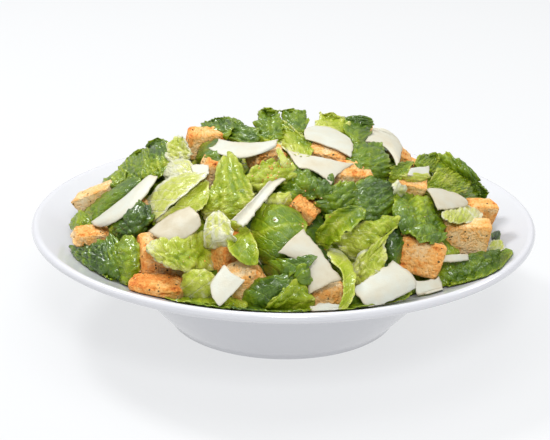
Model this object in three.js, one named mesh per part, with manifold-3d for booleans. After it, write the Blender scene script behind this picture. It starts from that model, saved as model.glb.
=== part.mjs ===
// A caesar salad heaped in a wide pasta plate: torn romaine, croutons and parmesan shavings.
// Millimetres, +Z up, origin at the middle of the plate's foot. The front of the plate faces -Y.
import * as THREE from "three";
import { ConvexGeometry } from "three/addons/geometries/ConvexGeometry.js";
import { mergeVertices } from "three/addons/utils/BufferGeometryUtils.js";
import Module from "manifold-3d";

const wasm = await Module();
wasm.setup();

// ---- Driving dimensions -------------------------------------------------------------------

const PLATE = {
  radius: 140,
  height: 59.7,
  lipThickness: 5.1,
  shoulderRadius: 92, // where the flared rim leaves the body, underneath
  shoulderHeight: 34,
  footRadius: 65,
  footWidth: 7,
  footHeight: 2.4,
  wellRadius: 97, // where the rim breaks down into the well, on top
  wellHeight: 43.8,
  floorRadius: 66,
  floorHeight: 8,
  segments: 36,
};
const HEAP = {
  radius: 124,
  edgeHeight: 54,
  rise: 58, // from the edge to the crown
  power: 2.2,
  crownDrop: 4, // how far the bare core lies below the shown surface at the crown
  edgeDrop: 6, // and at its edge
  coreRadius: 117,
  coreRings: 5,
  crownDepth: 22, // pieces at the crown stand up no further back than this
  crownEase: 6, // how gradually pieces are brought forward to that depth
  mouthRadius: 125, // pieces at the front start inside the plate's rim
  rimRadius: 136, // pieces at the sides may lie out to here on the rim
  nearestSight: 760, // from the eye to the near side of the heap
};
const GAP = 0.4;
const SEAT_GAP = 1; // upright room between the heap's core and the plate's curved wall
const LEAF_THICKNESS = 1.6;
const LEAF_DIP = 7; // how deep a leaf's base sinks below the shown surface
const LEAF_FEW_FACES = 58; // a leaf that spans fewer sight steps than this has fewer faces
const SHAVING_THICKNESS = 1.5;
const CROUTON_WEAR = { faceShare: 0.74, lump: 0.05 }; // flat share of a face, unevenness

// The sight grid: where a piece shows to an eye in front of the plate, in steps right and down.
const SIGHT = {
  distance: 900, // from the eye to the upright axis, at pivotHeight
  pivotHeight: 30,
  elevation: THREE.MathUtils.degToRad(22),
  roll: THREE.MathUtils.degToRad(0.68),
  aim: new THREE.Vector3(-4.7, 0, 56),
  centre: new THREE.Vector2(275, 220),
  stepsPerRadian: 1585,
};

// ---- Shapes worked out from the dimensions ------------------------------------------------

// Points of a quadratic curve, ends included.
function bend(from, via, to, steps) {
  return new THREE.QuadraticBezierCurve(
    new THREE.Vector2(...from),
    new THREE.Vector2(...via),
    new THREE.Vector2(...to),
  ).getPoints(steps);
}

// The plate's upper face from the lip's crest to the axis.
function plateTop() {
  const p = PLATE;
  const rim = bend(
    [p.radius - 2.4, p.height],
    [p.radius - 22, p.height - 8.6],
    [p.wellRadius, p.wellHeight],
    2,
  );
  const wall = bend(
    [p.wellRadius, p.wellHeight],
    [p.wellRadius - 18, p.wellHeight - 7],
    [p.floorRadius + 5, p.floorHeight + 9],
    3,
  );
  const floor = bend(
    [p.floorRadius + 5, p.floorHeight + 9],
    [p.floorRadius + 3, p.floorHeight + 1],
    [p.floorRadius - 6, p.floorHeight],
    2,
  );
  return [...rim, ...wall.slice(1), ...floor.slice(1), new THREE.Vector2(0, p.floorHeight)];
}

// The plate's lower face from the axis out to the lip.
function plateUnderside() {
  const p = PLATE;
  const wall = bend(
    [p.footRadius, p.footHeight],
    [p.footRadius + 16, p.footHeight + 16],
    [p.shoulderRadius, p.shoulderHeight],
    3,
  );
  const rim = bend(
    [p.shoulderRadius, p.shoulderHeight],
    [p.radius - 20, p.height - p.lipThickness - 9],
    [p.radius - 1.6, p.height - p.lipThickness],
    2,
  );
  return [
    new THREE.Vector2(0, p.footHeight),
    new THREE.Vector2(p.footRadius - p.footWidth - 1, p.footHeight),
    new THREE.Vector2(p.footRadius - p.footWidth, 0),
    new THREE.Vector2(p.footRadius - 1, 0),
    ...wall,
    ...rim.slice(1),
    new THREE.Vector2(p.radius, p.height - p.lipThickness / 2),
  ];
}

// The height of the plate's upper face at a radius.
function plateTopAt(radius) {
  const profile = plateTop();
  const next = profile.findIndex((point) => point.x <= radius);
  if (next <= 0) return PLATE.height;
  const [outer, inner] = [profile[next - 1], profile[next]];
  return THREE.MathUtils.mapLinear(radius, inner.x, outer.x, inner.y, outer.y);
}

// The shown surface of the heap: a crowned dome that runs out onto the rim.
function domeAt(radius) {
  const share = Math.min(radius / HEAP.radius, 1);
  return HEAP.edgeHeight + HEAP.rise * (1 - share ** HEAP.power);
}

function shownAt(radius) {
  return radius < HEAP.radius ? domeAt(radius) : plateTopAt(radius);
}

// The eye and the line of sight through a place of the sight grid.
function sightLine(u, v) {
  const { distance, pivotHeight, elevation, roll, aim, centre, stepsPerRadian } = SIGHT;
  const eyeHeight = pivotHeight + distance * Math.sin(elevation);
  const eye = new THREE.Vector3(0, -distance * Math.cos(elevation), eyeHeight);
  const ahead = aim.clone().sub(eye).normalize();
  const right = new THREE.Vector3().crossVectors(ahead, new THREE.Vector3(0, 0, 1)).normalize();
  const up = new THREE.Vector3().crossVectors(right, ahead);
  const a = (u - centre.x) / stepsPerRadian;
  const b = (centre.y - v) / stepsPerRadian;
  const toRight = a * Math.cos(roll) - b * Math.sin(roll);
  const toUp = a * Math.sin(roll) + b * Math.cos(roll);
  const way = ahead.addScaledVector(right, toRight).addScaledVector(up, toUp).normalize();
  return { eye, way };
}

// A sheet's middle lies at least a leaf's thickness above the plate.
function clearOfPlate(place) {
  const lowest = plateTopAt(Math.hypot(place.x, place.y)) + LEAF_THICKNESS;
  return place.setZ(Math.max(place.z, lowest));
}

// The place on the shown surface behind a sight-grid place, moved towards the eye. The depth is
// eased towards the crown's own plane, so that what shows at the skyline stands up there.
function bySight(u, v, towards = 0) {
  const { eye, way } = sightLine(u, v);
  const placeAt = (s) => eye.clone().addScaledVector(way, s);
  const depthOf = (s) => eye.y + way.y * s;
  const isAbove = (s) => {
    const p = placeAt(s);
    return p.z > shownAt(Math.hypot(p.x, p.y));
  };
  const aside = Math.abs(placeAt(HEAP.nearestSight).x);
  const sideShare = THREE.MathUtils.smoothstep(aside, 80, 112);
  const reach = THREE.MathUtils.lerp(HEAP.mouthRadius, HEAP.rimRadius, sideShare);
  const mouth = -Math.sqrt(Math.max(reach ** 2 - aside ** 2, 0));
  const stride = 4;
  let near = (mouth - eye.y) / way.y;
  while (isAbove(near) && depthOf(near) < HEAP.radius) near += stride;
  let behind = near;
  near -= stride;
  for (let halving = 0; halving < 24; halving += 1) {
    const middle = (near + behind) / 2;
    if (isAbove(middle)) near = middle;
    else behind = middle;
  }
  const depth = Math.max(depthOf(near), mouth);
  const { crownDepth, crownEase } = HEAP;
  const overCrown = crownEase * Math.log(1 + Math.exp((depth - crownDepth) / crownEase));
  const place = placeAt((depth - overCrown - eye.y) / way.y - towards);
  return clearOfPlate(place);
}

// The place on the dome at a plan position, raised along the dome's own normal.
function byPlan(x, y, lift = 0) {
  const radius = Math.max(Math.hypot(x, y), 1e-3);
  const slope = shownAt(radius + 0.5) - shownAt(radius - 0.5);
  const normal = new THREE.Vector3((-slope * x) / radius, (-slope * y) / radius, 1).normalize();
  return clearOfPlate(new THREE.Vector3(x, y, shownAt(radius)).addScaledVector(normal, lift));
}

// The eight-node patch: four corners and four mid-side places give a place for each (a, b) in
// -1..1. Order: base left, base middle, base right, right, tip right, tip middle, tip left, left.
function patch(outline, a, b) {
  const weights = [
    ((1 - a) * (1 - b) * (-a - b - 1)) / 4,
    ((1 - a * a) * (1 - b)) / 2,
    ((1 + a) * (1 - b) * (a - b - 1)) / 4,
    ((1 + a) * (1 - b * b)) / 2,
    ((1 + a) * (1 + b) * (a + b - 1)) / 4,
    ((1 - a * a) * (1 + b)) / 2,
    ((1 - a) * (1 + b) * (-a + b - 1)) / 4,
    ((1 - a) * (1 - b * b)) / 2,
  ];
  const sum = (offset) => weights.reduce((total, w, i) => total + w * outline[2 * i + offset], 0);
  return [sum(0), sum(1)];
}

// How far a sheet stands out at (a, b): tilt along and across, a cupped width, an arched length
// and a margin that waves more the nearer it is to the edge. The base dips into the heap.
function standing(form, a, b) {
  const { out = 0, rise = 0, roll = 0, cup = 0, arch = 0, wave = 0, waves = 3, turn = 0 } = form;
  const dip = (form.dip ?? 0) * ((1 - b) / 2) ** 3;
  const ripple = wave * a * a * Math.sin(Math.PI * waves * b + turn + (a > 0 ? 1.3 : 0));
  return out + (rise * b) / 2 + (roll * a) / 2 + cup * a * a + arch * b * b + ripple - dip;
}

// A closed thin sheet through a grid of places, with both faces split alike. Its edges run on
// straight by the margin.
function sheet(place, across, along, thickness, margin = 0) {
  const row = across + 1;
  const grid = [];
  for (let j = 0; j <= along; j += 1) {
    for (let i = 0; i <= across; i += 1) {
      grid.push(place(-1 + (2 * i) / across, -1 + (2 * j) / along));
    }
  }
  const from = (places, i, j) =>
    places[THREE.MathUtils.clamp(j, 0, along) * row + THREE.MathUtils.clamp(i, 0, across)];
  const middle = grid.map((p, k) => {
    const [i, j] = [k % row, Math.floor(k / row)];
    const outward = (di, dj) => p.clone().sub(from(grid, i - di, j - dj)).normalize();
    const moved = p.clone();
    if (i % across === 0) moved.addScaledVector(outward(i ? 1 : -1, 0), margin);
    if (j % along === 0) moved.addScaledVector(outward(0, j ? 1 : -1), margin);
    return moved;
  });
  const at = (i, j) => from(middle, i, j);
  const positions = [];
  for (const side of [1, -1]) {
    for (let j = 0; j <= along; j += 1) {
      for (let i = 0; i <= across; i += 1) {
        const acrossWay = at(i + 1, j).clone().sub(at(i - 1, j));
        const alongWay = at(i, j + 1).clone().sub(at(i, j - 1));
        const normal = acrossWay.cross(alongWay).normalize();
        const p = at(i, j).clone().addScaledVector(normal, (side * thickness) / 2);
        positions.push(p.x, p.y, p.z);
      }
    }
  }
  const count = middle.length;
  const triangles = [];
  const quad = (p, q, r, s) => triangles.push(p, q, r, p, r, s);
  for (let j = 0; j < along; j += 1) {
    for (let i = 0; i < across; i += 1) {
      const p = j * row + i;
      quad(p, p + 1, p + row + 1, p + row);
      triangles.push(count + p, count + p + row + 1, count + p + 1);
      triangles.push(count + p, count + p + row, count + p + row + 1);
    }
  }
  const rim = [];
  for (let i = 0; i < across; i += 1) rim.push(i);
  for (let j = 0; j < along; j += 1) rim.push(j * row + across);
  for (let i = across; i > 0; i -= 1) rim.push(along * row + i);
  for (let j = along; j > 0; j -= 1) rim.push(j * row);
  rim.forEach((p, k) => {
    const q = rim[(k + 1) % rim.length];
    quad(p, p + count, q + count, q);
  });
  return new THREE.BufferGeometry()
    .setAttribute("position", new THREE.Float32BufferAttribute(positions, 3))
    .setIndex(triangles);
}

// A sheet laid out on the sight grid, or on the plan for pieces behind the crown.
function sheetOf(form, across, along, thickness, margin = 0) {
  const onGrid = form.plan ? byPlan : bySight;
  const place = (a, b) => onGrid(...patch(form.outline, a, b), standing(form, a, b));
  return sheet(place, across, along, thickness, margin);
}

// The eight places round a piece that lies on the plan at an azimuth and radius, with its length,
// width and turn, pointed at its tip.
function laidOutline({ azimuth, radius, length, width, turn }) {
  const centre = THREE.MathUtils.degToRad(azimuth);
  const heading = THREE.MathUtils.degToRad(azimuth + turn);
  const [cx, cy] = [radius * Math.cos(centre), radius * Math.sin(centre)];
  const shape = [
    [-0.7, -0.9],
    [0, -1],
    [0.7, -0.9],
    [1, 0],
    [0.6, 0.9],
    [0, 1],
    [-0.6, 0.9],
    [-1, 0],
  ];
  return shape.flatMap(([a, b]) => {
    const [side, ahead] = [(a * width) / 2, (b * length) / 2];
    return [
      cx + ahead * Math.cos(heading) - side * Math.sin(heading),
      cy + ahead * Math.sin(heading) + side * Math.cos(heading),
    ];
  });
}

// ---- Solids -------------------------------------------------------------------------------

function solid(geometry) {
  const bare = geometry.clone();
  bare.deleteAttribute("normal");
  bare.deleteAttribute("uv");
  const merged = mergeVertices(bare, 1e-3);
  const made = new wasm.Manifold(
    new wasm.Mesh({
      numProp: 3,
      vertProperties: merged.attributes.position.array,
      triVerts: new Uint32Array(merged.index.array),
    }),
  );
  if (made.volume() > 0) return made;
  const turned = merged.index.array.slice();
  for (let i = 0; i < turned.length; i += 3) [turned[i], turned[i + 1]] = [turned[i + 1], turned[i]];
  return solid(merged.setIndex([...turned]));
}

// The largest body of a solid: loose scraps are dropped, and sealed hollows filled.
function largest(body) {
  const bodies = body.decompose().filter((piece) => piece.volume() > 0);
  return bodies.reduce((best, piece) => (piece.volume() > best.volume() ? piece : best));
}

function geometryOf(body) {
  const { vertProperties, triVerts } = body.getMesh();
  return new THREE.BufferGeometry()
    .setAttribute("position", new THREE.BufferAttribute(new Float32Array(vertProperties), 3))
    .setIndex(new THREE.BufferAttribute(new Uint32Array(triVerts), 1));
}

function lathe(profile) {
  return solid(new THREE.LatheGeometry(profile, PLATE.segments).rotateX(Math.PI / 2));
}

// Everything below the plate's upper face, raised by a gap: what lies on the plate is cut by it.
function plateClearance() {
  const outside = PLATE.radius + 5;
  return lathe([
    new THREE.Vector2(0, 0),
    new THREE.Vector2(outside, 0),
    new THREE.Vector2(outside, PLATE.height + GAP),
    ...plateTop().map((point) => new THREE.Vector2(point.x, point.y + GAP)),
  ]);
}

// A romaine piece, with fewer faces where it is small.
function leafSolid(form) {
  const xs = form.outline.filter((_, i) => i % 2 === 0);
  const ys = form.outline.filter((_, i) => i % 2 === 1);
  const reach = Math.max(...xs) - Math.min(...xs) + Math.max(...ys) - Math.min(...ys);
  const small = !form.plan && reach < LEAF_FEW_FACES;
  const dip = LEAF_DIP + Math.max(form.out, 0);
  return solid(sheetOf({ ...form, dip }, 2, small ? 2 : 3, LEAF_THICKNESS));
}

function shavingSolid(form) {
  return solid(sheetOf(form, 2, 3, SHAVING_THICKNESS));
}

// The room that a shaving takes up.
function shavingSpace(form) {
  return solid(sheetOf(form, 2, 3, SHAVING_THICKNESS + 3 * GAP, 2 * GAP));
}

// The heap's core: the dome lowered a little, its surface uneven in slow swells, standing on the
// plate's floor and clear of its wall.
function core() {
  const { coreRadius, coreRings, crownDrop, edgeDrop } = HEAP;
  const inside = plateTop().filter((point) => point.x < coreRadius);
  const seat = [...inside.reverse(), new THREE.Vector2(coreRadius, plateTopAt(coreRadius))].map(
    (point) => new THREE.Vector2(point.x, point.y + SEAT_GAP),
  );
  const crown = [];
  for (let i = coreRings; i >= 0; i -= 1) {
    const radius = (coreRadius * i) / coreRings;
    const drop = THREE.MathUtils.lerp(crownDrop, edgeDrop, (i / coreRings) ** 2);
    crown.push(new THREE.Vector2(radius, domeAt(radius) - drop));
  }
  const geometry = new THREE.LatheGeometry([...seat, ...crown], PLATE.segments);
  geometry.rotateX(Math.PI / 2);
  const position = geometry.attributes.position;
  for (let i = 0; i < position.count; i += 1) {
    const [x, y, z] = [position.getX(i), position.getY(i), position.getZ(i)];
    const swell = 1.3 * Math.sin(x / 11 + 1) * Math.cos(y / 13);
    if (z > HEAP.edgeHeight) position.setZ(i, z + swell);
  }
  return solid(geometry);
}

// A crouton: a block with its edges and corners worn off, each worn place a little off true.
function croutonGeometry({ size, seed }) {
  const points = [];
  for (let i = 0; i < 24; i += 1) {
    const axis = i % 3;
    const corner = Math.floor(i / 3);
    const worn = 1 - CROUTON_WEAR.lump * Math.sin(5 * corner + 2 * axis + 2.1 * seed) ** 2;
    const sides = size.map((side, k) => {
      const sign = corner & (1 << k) ? 1 : -1;
      return (sign * worn * side * (k === axis ? 1 : CROUTON_WEAR.faceShare)) / 2;
    });
    points.push(new THREE.Vector3(...sides));
  }
  return new ConvexGeometry(points);
}

function croutonPlace({ at, plan, sunk }) {
  return plan ? byPlan(...at, -sunk) : bySight(...at, -sunk);
}

function croutonTurn({ spin, lean, tip }) {
  const [z, x, y] = [spin, lean, tip].map(THREE.MathUtils.degToRad);
  return new THREE.Euler(x, y, z, "ZXY");
}

function croutonSolid(form, geometry = croutonGeometry(form)) {
  const turn = new THREE.Matrix4().makeRotationFromEuler(croutonTurn(form));
  return solid(geometry.applyMatrix4(turn.setPosition(croutonPlace(form))));
}

// The block of room that a crouton takes up.
function croutonSpace(form) {
  return croutonSolid(form, new THREE.BoxGeometry(...form.size.map((side) => side + 2 * GAP)));
}

// ---- Layout -------------------------------------------------------------------------------

// Croutons: place, sides, turn about the upright, lean back and tip to the side, in degrees.
// sunk is how far the middle lies behind the shown surface.
const CROUTONS = [
  { at: [205.5, 142], size: [21.5, 16, 14], spin: 12, lean: 4, tip: -2, sunk: 9 },
  { at: [95, 196], size: [25, 14, 8], spin: -16, lean: 4, tip: -24, sunk: 3 },
  { at: [92, 235], size: [20, 15, 7], spin: 12, lean: 4, tip: 2, sunk: 2 },
  { at: [163, 257], size: [25, 22, 21], spin: 10, lean: 4, tip: 3, sunk: 10 },
  { at: [157, 289], size: [27.5, 16, 11.5], spin: -8, lean: 6, tip: 4, sunk: 3 },
  { at: [213, 174], size: [13, 16, 18], spin: 16, lean: 4, tip: 14, sunk: 10 },
  { at: [268, 158.5], size: [19, 13, 11], spin: 24, lean: 10, tip: 10, sunk: 9 },
  { at: [329, 154], size: [21, 18, 10], spin: -12, lean: 14, tip: 10, sunk: 6 },
  { at: [350.5, 175.5], size: [20, 13, 10], spin: 18, lean: 20, tip: 8, sunk: 5 },
  { at: [299.5, 214.5], size: [13.5, 14, 16], spin: -18, lean: 4, tip: 34, sunk: 8 },
  { at: [397.5, 161.5], size: [13, 13, 13], spin: 10, lean: 8, tip: 44, sunk: 28 },
  { at: [411, 187], size: [15, 14, 9], spin: -10, lean: 6, tip: 8, sunk: 8 },
  { at: [465, 239], size: [24, 15, 19], spin: -4, lean: -8, tip: 1, sunk: 6 },
  { at: [418.5, 256], size: [24, 16, 19], spin: 6, lean: -12, tip: 18, sunk: 7 },
  { at: [479, 213], size: [15.5, 13, 14], spin: 12, lean: 6, tip: 6, sunk: 7 },
  { at: [230, 253], size: [20, 20, 23], spin: 36, lean: -6, tip: 10, sunk: 13 },
  { at: [247, 282], size: [19, 18, 19], spin: 16, lean: 12, tip: -28, sunk: 6 },
  { at: [325, 294], size: [19, 16, 12], spin: 12, lean: 6, tip: -10, sunk: 4 },
  { at: [136, 213], size: [15, 14, 9], spin: 24, lean: 0, tip: -22, sunk: 10 },
  { at: [40, 60], size: [23, 20, 18], spin: 24, lean: -12, tip: 10, sunk: 7, plan: true },
  { at: [-44, 88], size: [21, 22, 19], spin: 52, lean: -10, tip: -14, sunk: 9, plan: true },
  { at: [72, 80], size: [22, 19, 18], spin: -16, lean: -18, tip: 12, sunk: 10, plan: true },
  { at: [-30, 103], size: [24, 20, 18], spin: 8, lean: -24, tip: 4, sunk: 3, plan: true },
  { at: [-88, 64], size: [20, 21, 17], spin: 34, lean: -8, tip: -18, sunk: 9, plan: true },
  { at: [22, 106], size: [21, 20, 18], spin: 40, lean: -16, tip: 14, sunk: 3, plan: true },
];

// Parmesan shavings, each an outline of eight places and how it stands out from the heap.
const SHAVINGS = [
  { outline: [210, 149, 215, 145, 219, 139, 248, 143, 277, 140, 277, 143, 275, 147, 240, 158],
    out: 9, cup: -2, arch: 2 },
  { outline: [288, 151, 291, 158, 299, 168, 315, 172, 331, 184, 341, 172, 354, 164, 322, 158],
    out: 6, cup: 1, arch: -2 },
  { outline: [305, 130, 304, 135, 306, 139, 328, 146, 350, 157, 353, 149, 350, 139, 326, 127],
    out: 9, rise: -3, cup: -1 },
  { outline: [365, 142, 369, 135, 373, 129, 390, 132, 402, 148, 400, 159, 397, 168, 386, 148],
    out: 4, cup: -3, arch: -3 },
  { outline: [191, 166, 192, 171, 197, 175, 203, 175, 209, 174, 209, 170, 208, 166, 200, 165],
    out: 6 },
  { outline: [92, 221, 94, 225, 101, 227, 130, 212, 157, 178, 151, 175, 145, 179, 121, 200],
    out: 6, cup: -2, arch: -2 },
  { outline: [149, 231, 158, 237, 170, 244, 190, 236, 201, 225, 198, 214, 190, 207, 168, 217],
    out: 10, cup: -3, rise: 2 },
  { outline: [232, 220, 237, 224, 244, 227, 263, 203, 283, 180, 277, 178, 270, 180, 251, 201],
    out: 5, cup: 2, rise: -2 },
  { outline: [278, 253, 289, 241, 303, 231, 322, 253, 339, 279, 325, 286, 310, 292, 302, 266],
    out: 13, cup: -2, rise: -3 },
  { outline: [211, 285, 213, 298, 219, 306, 230, 297, 244, 281, 235, 275, 225, 266, 218, 274],
    out: 10, roll: 2, cup: -1 },
  { outline: [353, 289, 360, 299, 368, 309, 392, 300, 415, 288, 412, 276, 393, 262, 370, 277],
    out: 9, cup: -2 },
  { outline: [414, 281, 415, 289, 418, 296, 430, 297, 443, 294, 442, 286, 438, 278, 426, 281],
    out: -3 },
  { outline: [426, 190, 432, 197, 438, 210, 452, 209, 466, 206, 467, 201, 458, 194, 442, 189],
    out: 6, cup: -2 },
  { outline: [407, 176, 409, 172, 411, 169, 419, 168, 428, 167, 429, 172, 427, 177, 417, 177],
    out: 8, rise: 2 },
  { outline: [441, 256, 441, 258, 442, 261, 455, 262, 468, 260, 468, 257, 467, 255, 454, 255],
    out: 4, rise: -2 },
  { outline: [310, 305, 312, 310, 318, 313, 328, 313, 339, 310, 342, 307, 343, 304, 326, 303],
    out: 3 },
  { azimuth: 64, radius: 96, length: 34, width: 21, turn: 150, out: 5, cup: -3, plan: true },
  { azimuth: 96, radius: 96, length: 34, width: 20, turn: 70, out: 2, cup: -2, plan: true },
  { azimuth: 133, radius: 103, length: 34, width: 20, turn: 120, out: 4, cup: -3, plan: true },
  { azimuth: 29, radius: 104, length: 34, width: 18, turn: 80, out: 4, cup: -3, plan: true },
];

// Romaine pieces that show from the front, from the left flank over the crown to the right rim.
const LEAVES = [
  { outline: [85, 210, 88, 218, 93, 226, 116, 204, 138, 186, 142, 179, 136, 177, 108, 192],
    out: 3, cup: -4 },
  { outline: [116, 184, 134, 188, 150, 184, 157, 170, 152, 152, 140, 149, 127, 160, 118, 172],
    out: 3, cup: -5, wave: 2, waves: 4 },
  { outline: [143, 176, 158, 178, 169, 170, 171, 154, 168, 142, 157, 138, 148, 144, 143, 158],
    out: 4, cup: -5, wave: 2, waves: 3 },
  { outline: [167, 162, 178, 165, 188, 162, 191, 150, 187, 140, 180, 137, 172, 141, 167, 150],
    out: 2, cup: 3 },
  { outline: [163, 165, 162, 172, 166, 180, 180, 180, 194, 176, 195, 168, 190, 161, 177, 159],
    out: 4, cup: -4 },
  { outline: [145, 202, 147, 214, 150, 227, 176, 203, 209, 176, 200, 173, 185, 172, 162, 183],
    out: 8, rise: 3, roll: 6, cup: -2 },
  { outline: [150, 227, 166, 224, 178, 216, 196, 212, 207, 205, 210, 190, 209, 176, 176, 203],
    out: 6, roll: 6, cup: 2 },
  { outline: [195, 128, 206, 134, 222, 138, 233, 132, 230, 118, 222, 117, 212, 120, 203, 123],
    out: 7, cup: -4 },
  { outline: [226, 119, 225, 131, 230, 143, 245, 145, 259, 143, 257, 130, 244, 125, 234, 119],
    out: 4, cup: -5, wave: 1.5 },
  { outline: [197, 150, 198, 159, 204, 165, 214, 165, 223, 163, 223, 150, 219, 137, 206, 142],
    out: 8, cup: -5, arch: -3 },
  { outline: [256, 144, 268, 146, 281, 145, 283, 128, 277, 111, 268, 107, 260, 110, 256, 126],
    out: 6, cup: -5, wave: 2 },
  { outline: [284, 130, 294, 137, 305, 140, 307, 126, 305, 113, 296, 109, 283, 110, 281, 121],
    out: 5, cup: -4 },
  { outline: [280, 121, 278, 134, 281, 149, 296, 155, 310, 158, 314, 148, 303, 137, 292, 126],
    out: 8, cup: 4 },
  { outline: [285, 177, 290, 178, 296, 173, 289, 160, 281, 149, 278, 148, 275, 150, 280, 164],
    out: 12, cup: 1 },
  { outline: [247, 191, 260, 193, 274, 183, 293, 180, 293, 166, 278, 161, 262, 167, 249, 175],
    out: 5, cup: -3, wave: 2, waves: 4 },
  { outline: [211, 216, 228, 223, 247, 215, 254, 198, 243, 172, 229, 154, 220, 168, 211, 196],
    out: 9, rise: -4, cup: -5, wave: 1 },
  { outline: [202, 217, 211, 224, 221, 222, 223, 204, 219, 189, 214, 185, 208, 191, 203, 204],
    out: 6, cup: -3 },
  { outline: [275, 177, 272, 187, 277, 197, 302, 200, 327, 195, 334, 182, 327, 171, 300, 170],
    out: 6, cup: -6, wave: 2 },
  { outline: [311, 131, 324, 136, 341, 139, 348, 128, 343, 119, 332, 113, 321, 116, 315, 124],
    out: 4, cup: -3, wave: 1.5 },
  { outline: [349, 143, 356, 151, 364, 146, 371, 131, 374, 119, 360, 115, 345, 117, 344, 130],
    out: 8, cup: -4, arch: -3 },
  { outline: [348, 166, 366, 183, 389, 184, 390, 165, 384, 148, 371, 142, 355, 148, 345, 158],
    out: 8, cup: -6, arch: -4 },
  { outline: [320, 212, 336, 221, 350, 215, 357, 200, 353, 187, 340, 183, 327, 189, 320, 200],
    out: 5, cup: -4, wave: 2.5, waves: 4 },
  { outline: [349, 216, 370, 227, 391, 221, 396, 202, 392, 183, 374, 178, 355, 183, 349, 198],
    out: 5, cup: -5, wave: 1.5 },
  { outline: [388, 181, 394, 184, 401, 180, 408, 171, 415, 163, 411, 160, 400, 165, 390, 170],
    out: 4, cup: 3 },
  { outline: [393, 197, 400, 198, 408, 193, 405, 187, 400, 182, 396, 181, 392, 184, 392, 190],
    out: 5, cup: 3 },
  { outline: [429, 157, 431, 168, 437, 179, 457, 178, 480, 184, 479, 178, 467, 167, 449, 155],
    out: 5, cup: -4 },
  { outline: [423, 192, 438, 197, 456, 197, 467, 189, 470, 180, 452, 170, 439, 173, 429, 181],
    out: 4, cup: -3, wave: 1.5 },
  { outline: [458, 195, 468, 201, 482, 202, 488, 196, 485, 187, 478, 181, 468, 181, 460, 187],
    out: 2, cup: 4 },
  { outline: [439, 207, 420, 192, 397, 192, 393, 206, 395, 226, 418, 241, 438, 249, 443, 231],
    out: 9, cup: -5, wave: 2.5, waves: 5, rise: 5 },
  { outline: [443, 211, 460, 205, 477, 206, 483, 214, 478, 221, 458, 224, 442, 219, 441, 214],
    out: 12, wave: 1.5 },
  { outline: [489, 255, 494, 258, 501, 256, 504, 248, 502, 241, 496, 240, 491, 241, 489, 248],
    out: 3, cup: 3 },
  { outline: [79, 265, 100, 278, 125, 288, 127, 262, 114, 231, 101, 242, 83, 243, 71, 250],
    out: 6, cup: -5, wave: 2.5, waves: 5 },
  { outline: [113, 236, 128, 243, 143, 237, 152, 218, 151, 205, 138, 204, 123, 211, 113, 222],
    out: 5, cup: -4, wave: 1.5 },
  { outline: [119, 281, 127, 289, 135, 281, 140, 262, 137, 239, 128, 234, 120, 238, 115, 258],
    out: 8, cup: -4 },
  { outline: [213, 272, 214, 250, 222, 222, 186, 234, 156, 240, 149, 248, 153, 258, 182, 270],
    out: 12, cup: -5, wave: 2, waves: 4, rise: 4 },
  { outline: [191, 243, 206, 252, 221, 248, 227, 232, 223, 215, 212, 215, 201, 223, 193, 230],
    out: 14, cup: -3, wave: 1.5 },
  { outline: [181, 296, 198, 301, 215, 298, 216, 284, 213, 273, 198, 270, 183, 273, 181, 284],
    out: 6, cup: -4 },
  { outline: [168, 297, 205, 299, 241, 298, 247, 304, 243, 310, 208, 311, 172, 308, 165, 302],
    out: 2 },
  { outline: [247, 216, 248, 245, 257, 261, 276, 262, 295, 244, 307, 230, 301, 213, 274, 203],
    out: 13, cup: -8, arch: -4 },
  { outline: [248, 228, 240, 225, 233, 231, 227, 246, 235, 259, 248, 266, 258, 263, 256, 244],
    out: 10, cup: 4 },
  { outline: [266, 262, 263, 270, 270, 280, 290, 276, 305, 266, 317, 257, 305, 256, 284, 259],
    out: 16, cup: -3, rise: 6 },
  { outline: [242, 298, 242, 308, 252, 314, 270, 304, 298, 290, 300, 280, 288, 275, 258, 280],
    out: 9, cup: -4, roll: -3 },
  { outline: [299, 292, 304, 294, 309, 291, 311, 280, 307, 268, 302, 265, 297, 270, 296, 281],
    out: 16, cup: -3 },
  { outline: [262, 313, 286, 315, 311, 314, 314, 302, 309, 292, 296, 282, 281, 292, 269, 303],
    out: 11, cup: -3, wave: 1.5, waves: 4 },
  { outline: [312, 236, 318, 244, 327, 251, 346, 233, 367, 217, 363, 208, 350, 205, 331, 215],
    out: 8, cup: 5 },
  { outline: [347, 257, 334, 250, 321, 251, 343, 279, 334, 310, 341, 313, 349, 308, 356, 280],
    out: 9, cup: 2 },
  { outline: [335, 243, 342, 251, 352, 260, 377, 242, 398, 224, 399, 218, 390, 219, 360, 226],
    out: 9, cup: -3, wave: 2, waves: 5 },
  { outline: [353, 261, 350, 276, 354, 290, 370, 279, 391, 265, 385, 246, 398, 224, 377, 242],
    out: 8, roll: -4, wave: 1 },
  { outline: [388, 264, 394, 268, 400, 264, 403, 244, 398, 226, 392, 225, 387, 232, 385, 247],
    out: 5, cup: -3 },
  { outline: [439, 259, 437, 274, 445, 291, 472, 285, 501, 270, 513, 252, 500, 252, 468, 255],
    out: 3, cup: -4, wave: 1.5, waves: 4 },
];

// Romaine behind the crown, in rows from the rim up, with their tips outward. Each row spreads its
// pieces evenly between its two azimuths, and its pieces stand that far out.
const BACK_ROWS = [
  { count: 7, radius: 101, from: 17, to: 163, length: 40, width: 40, out: 5 },
  { count: 5, radius: 67, from: 30, to: 150, length: 54, width: 38, out: 2 },
];

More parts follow.
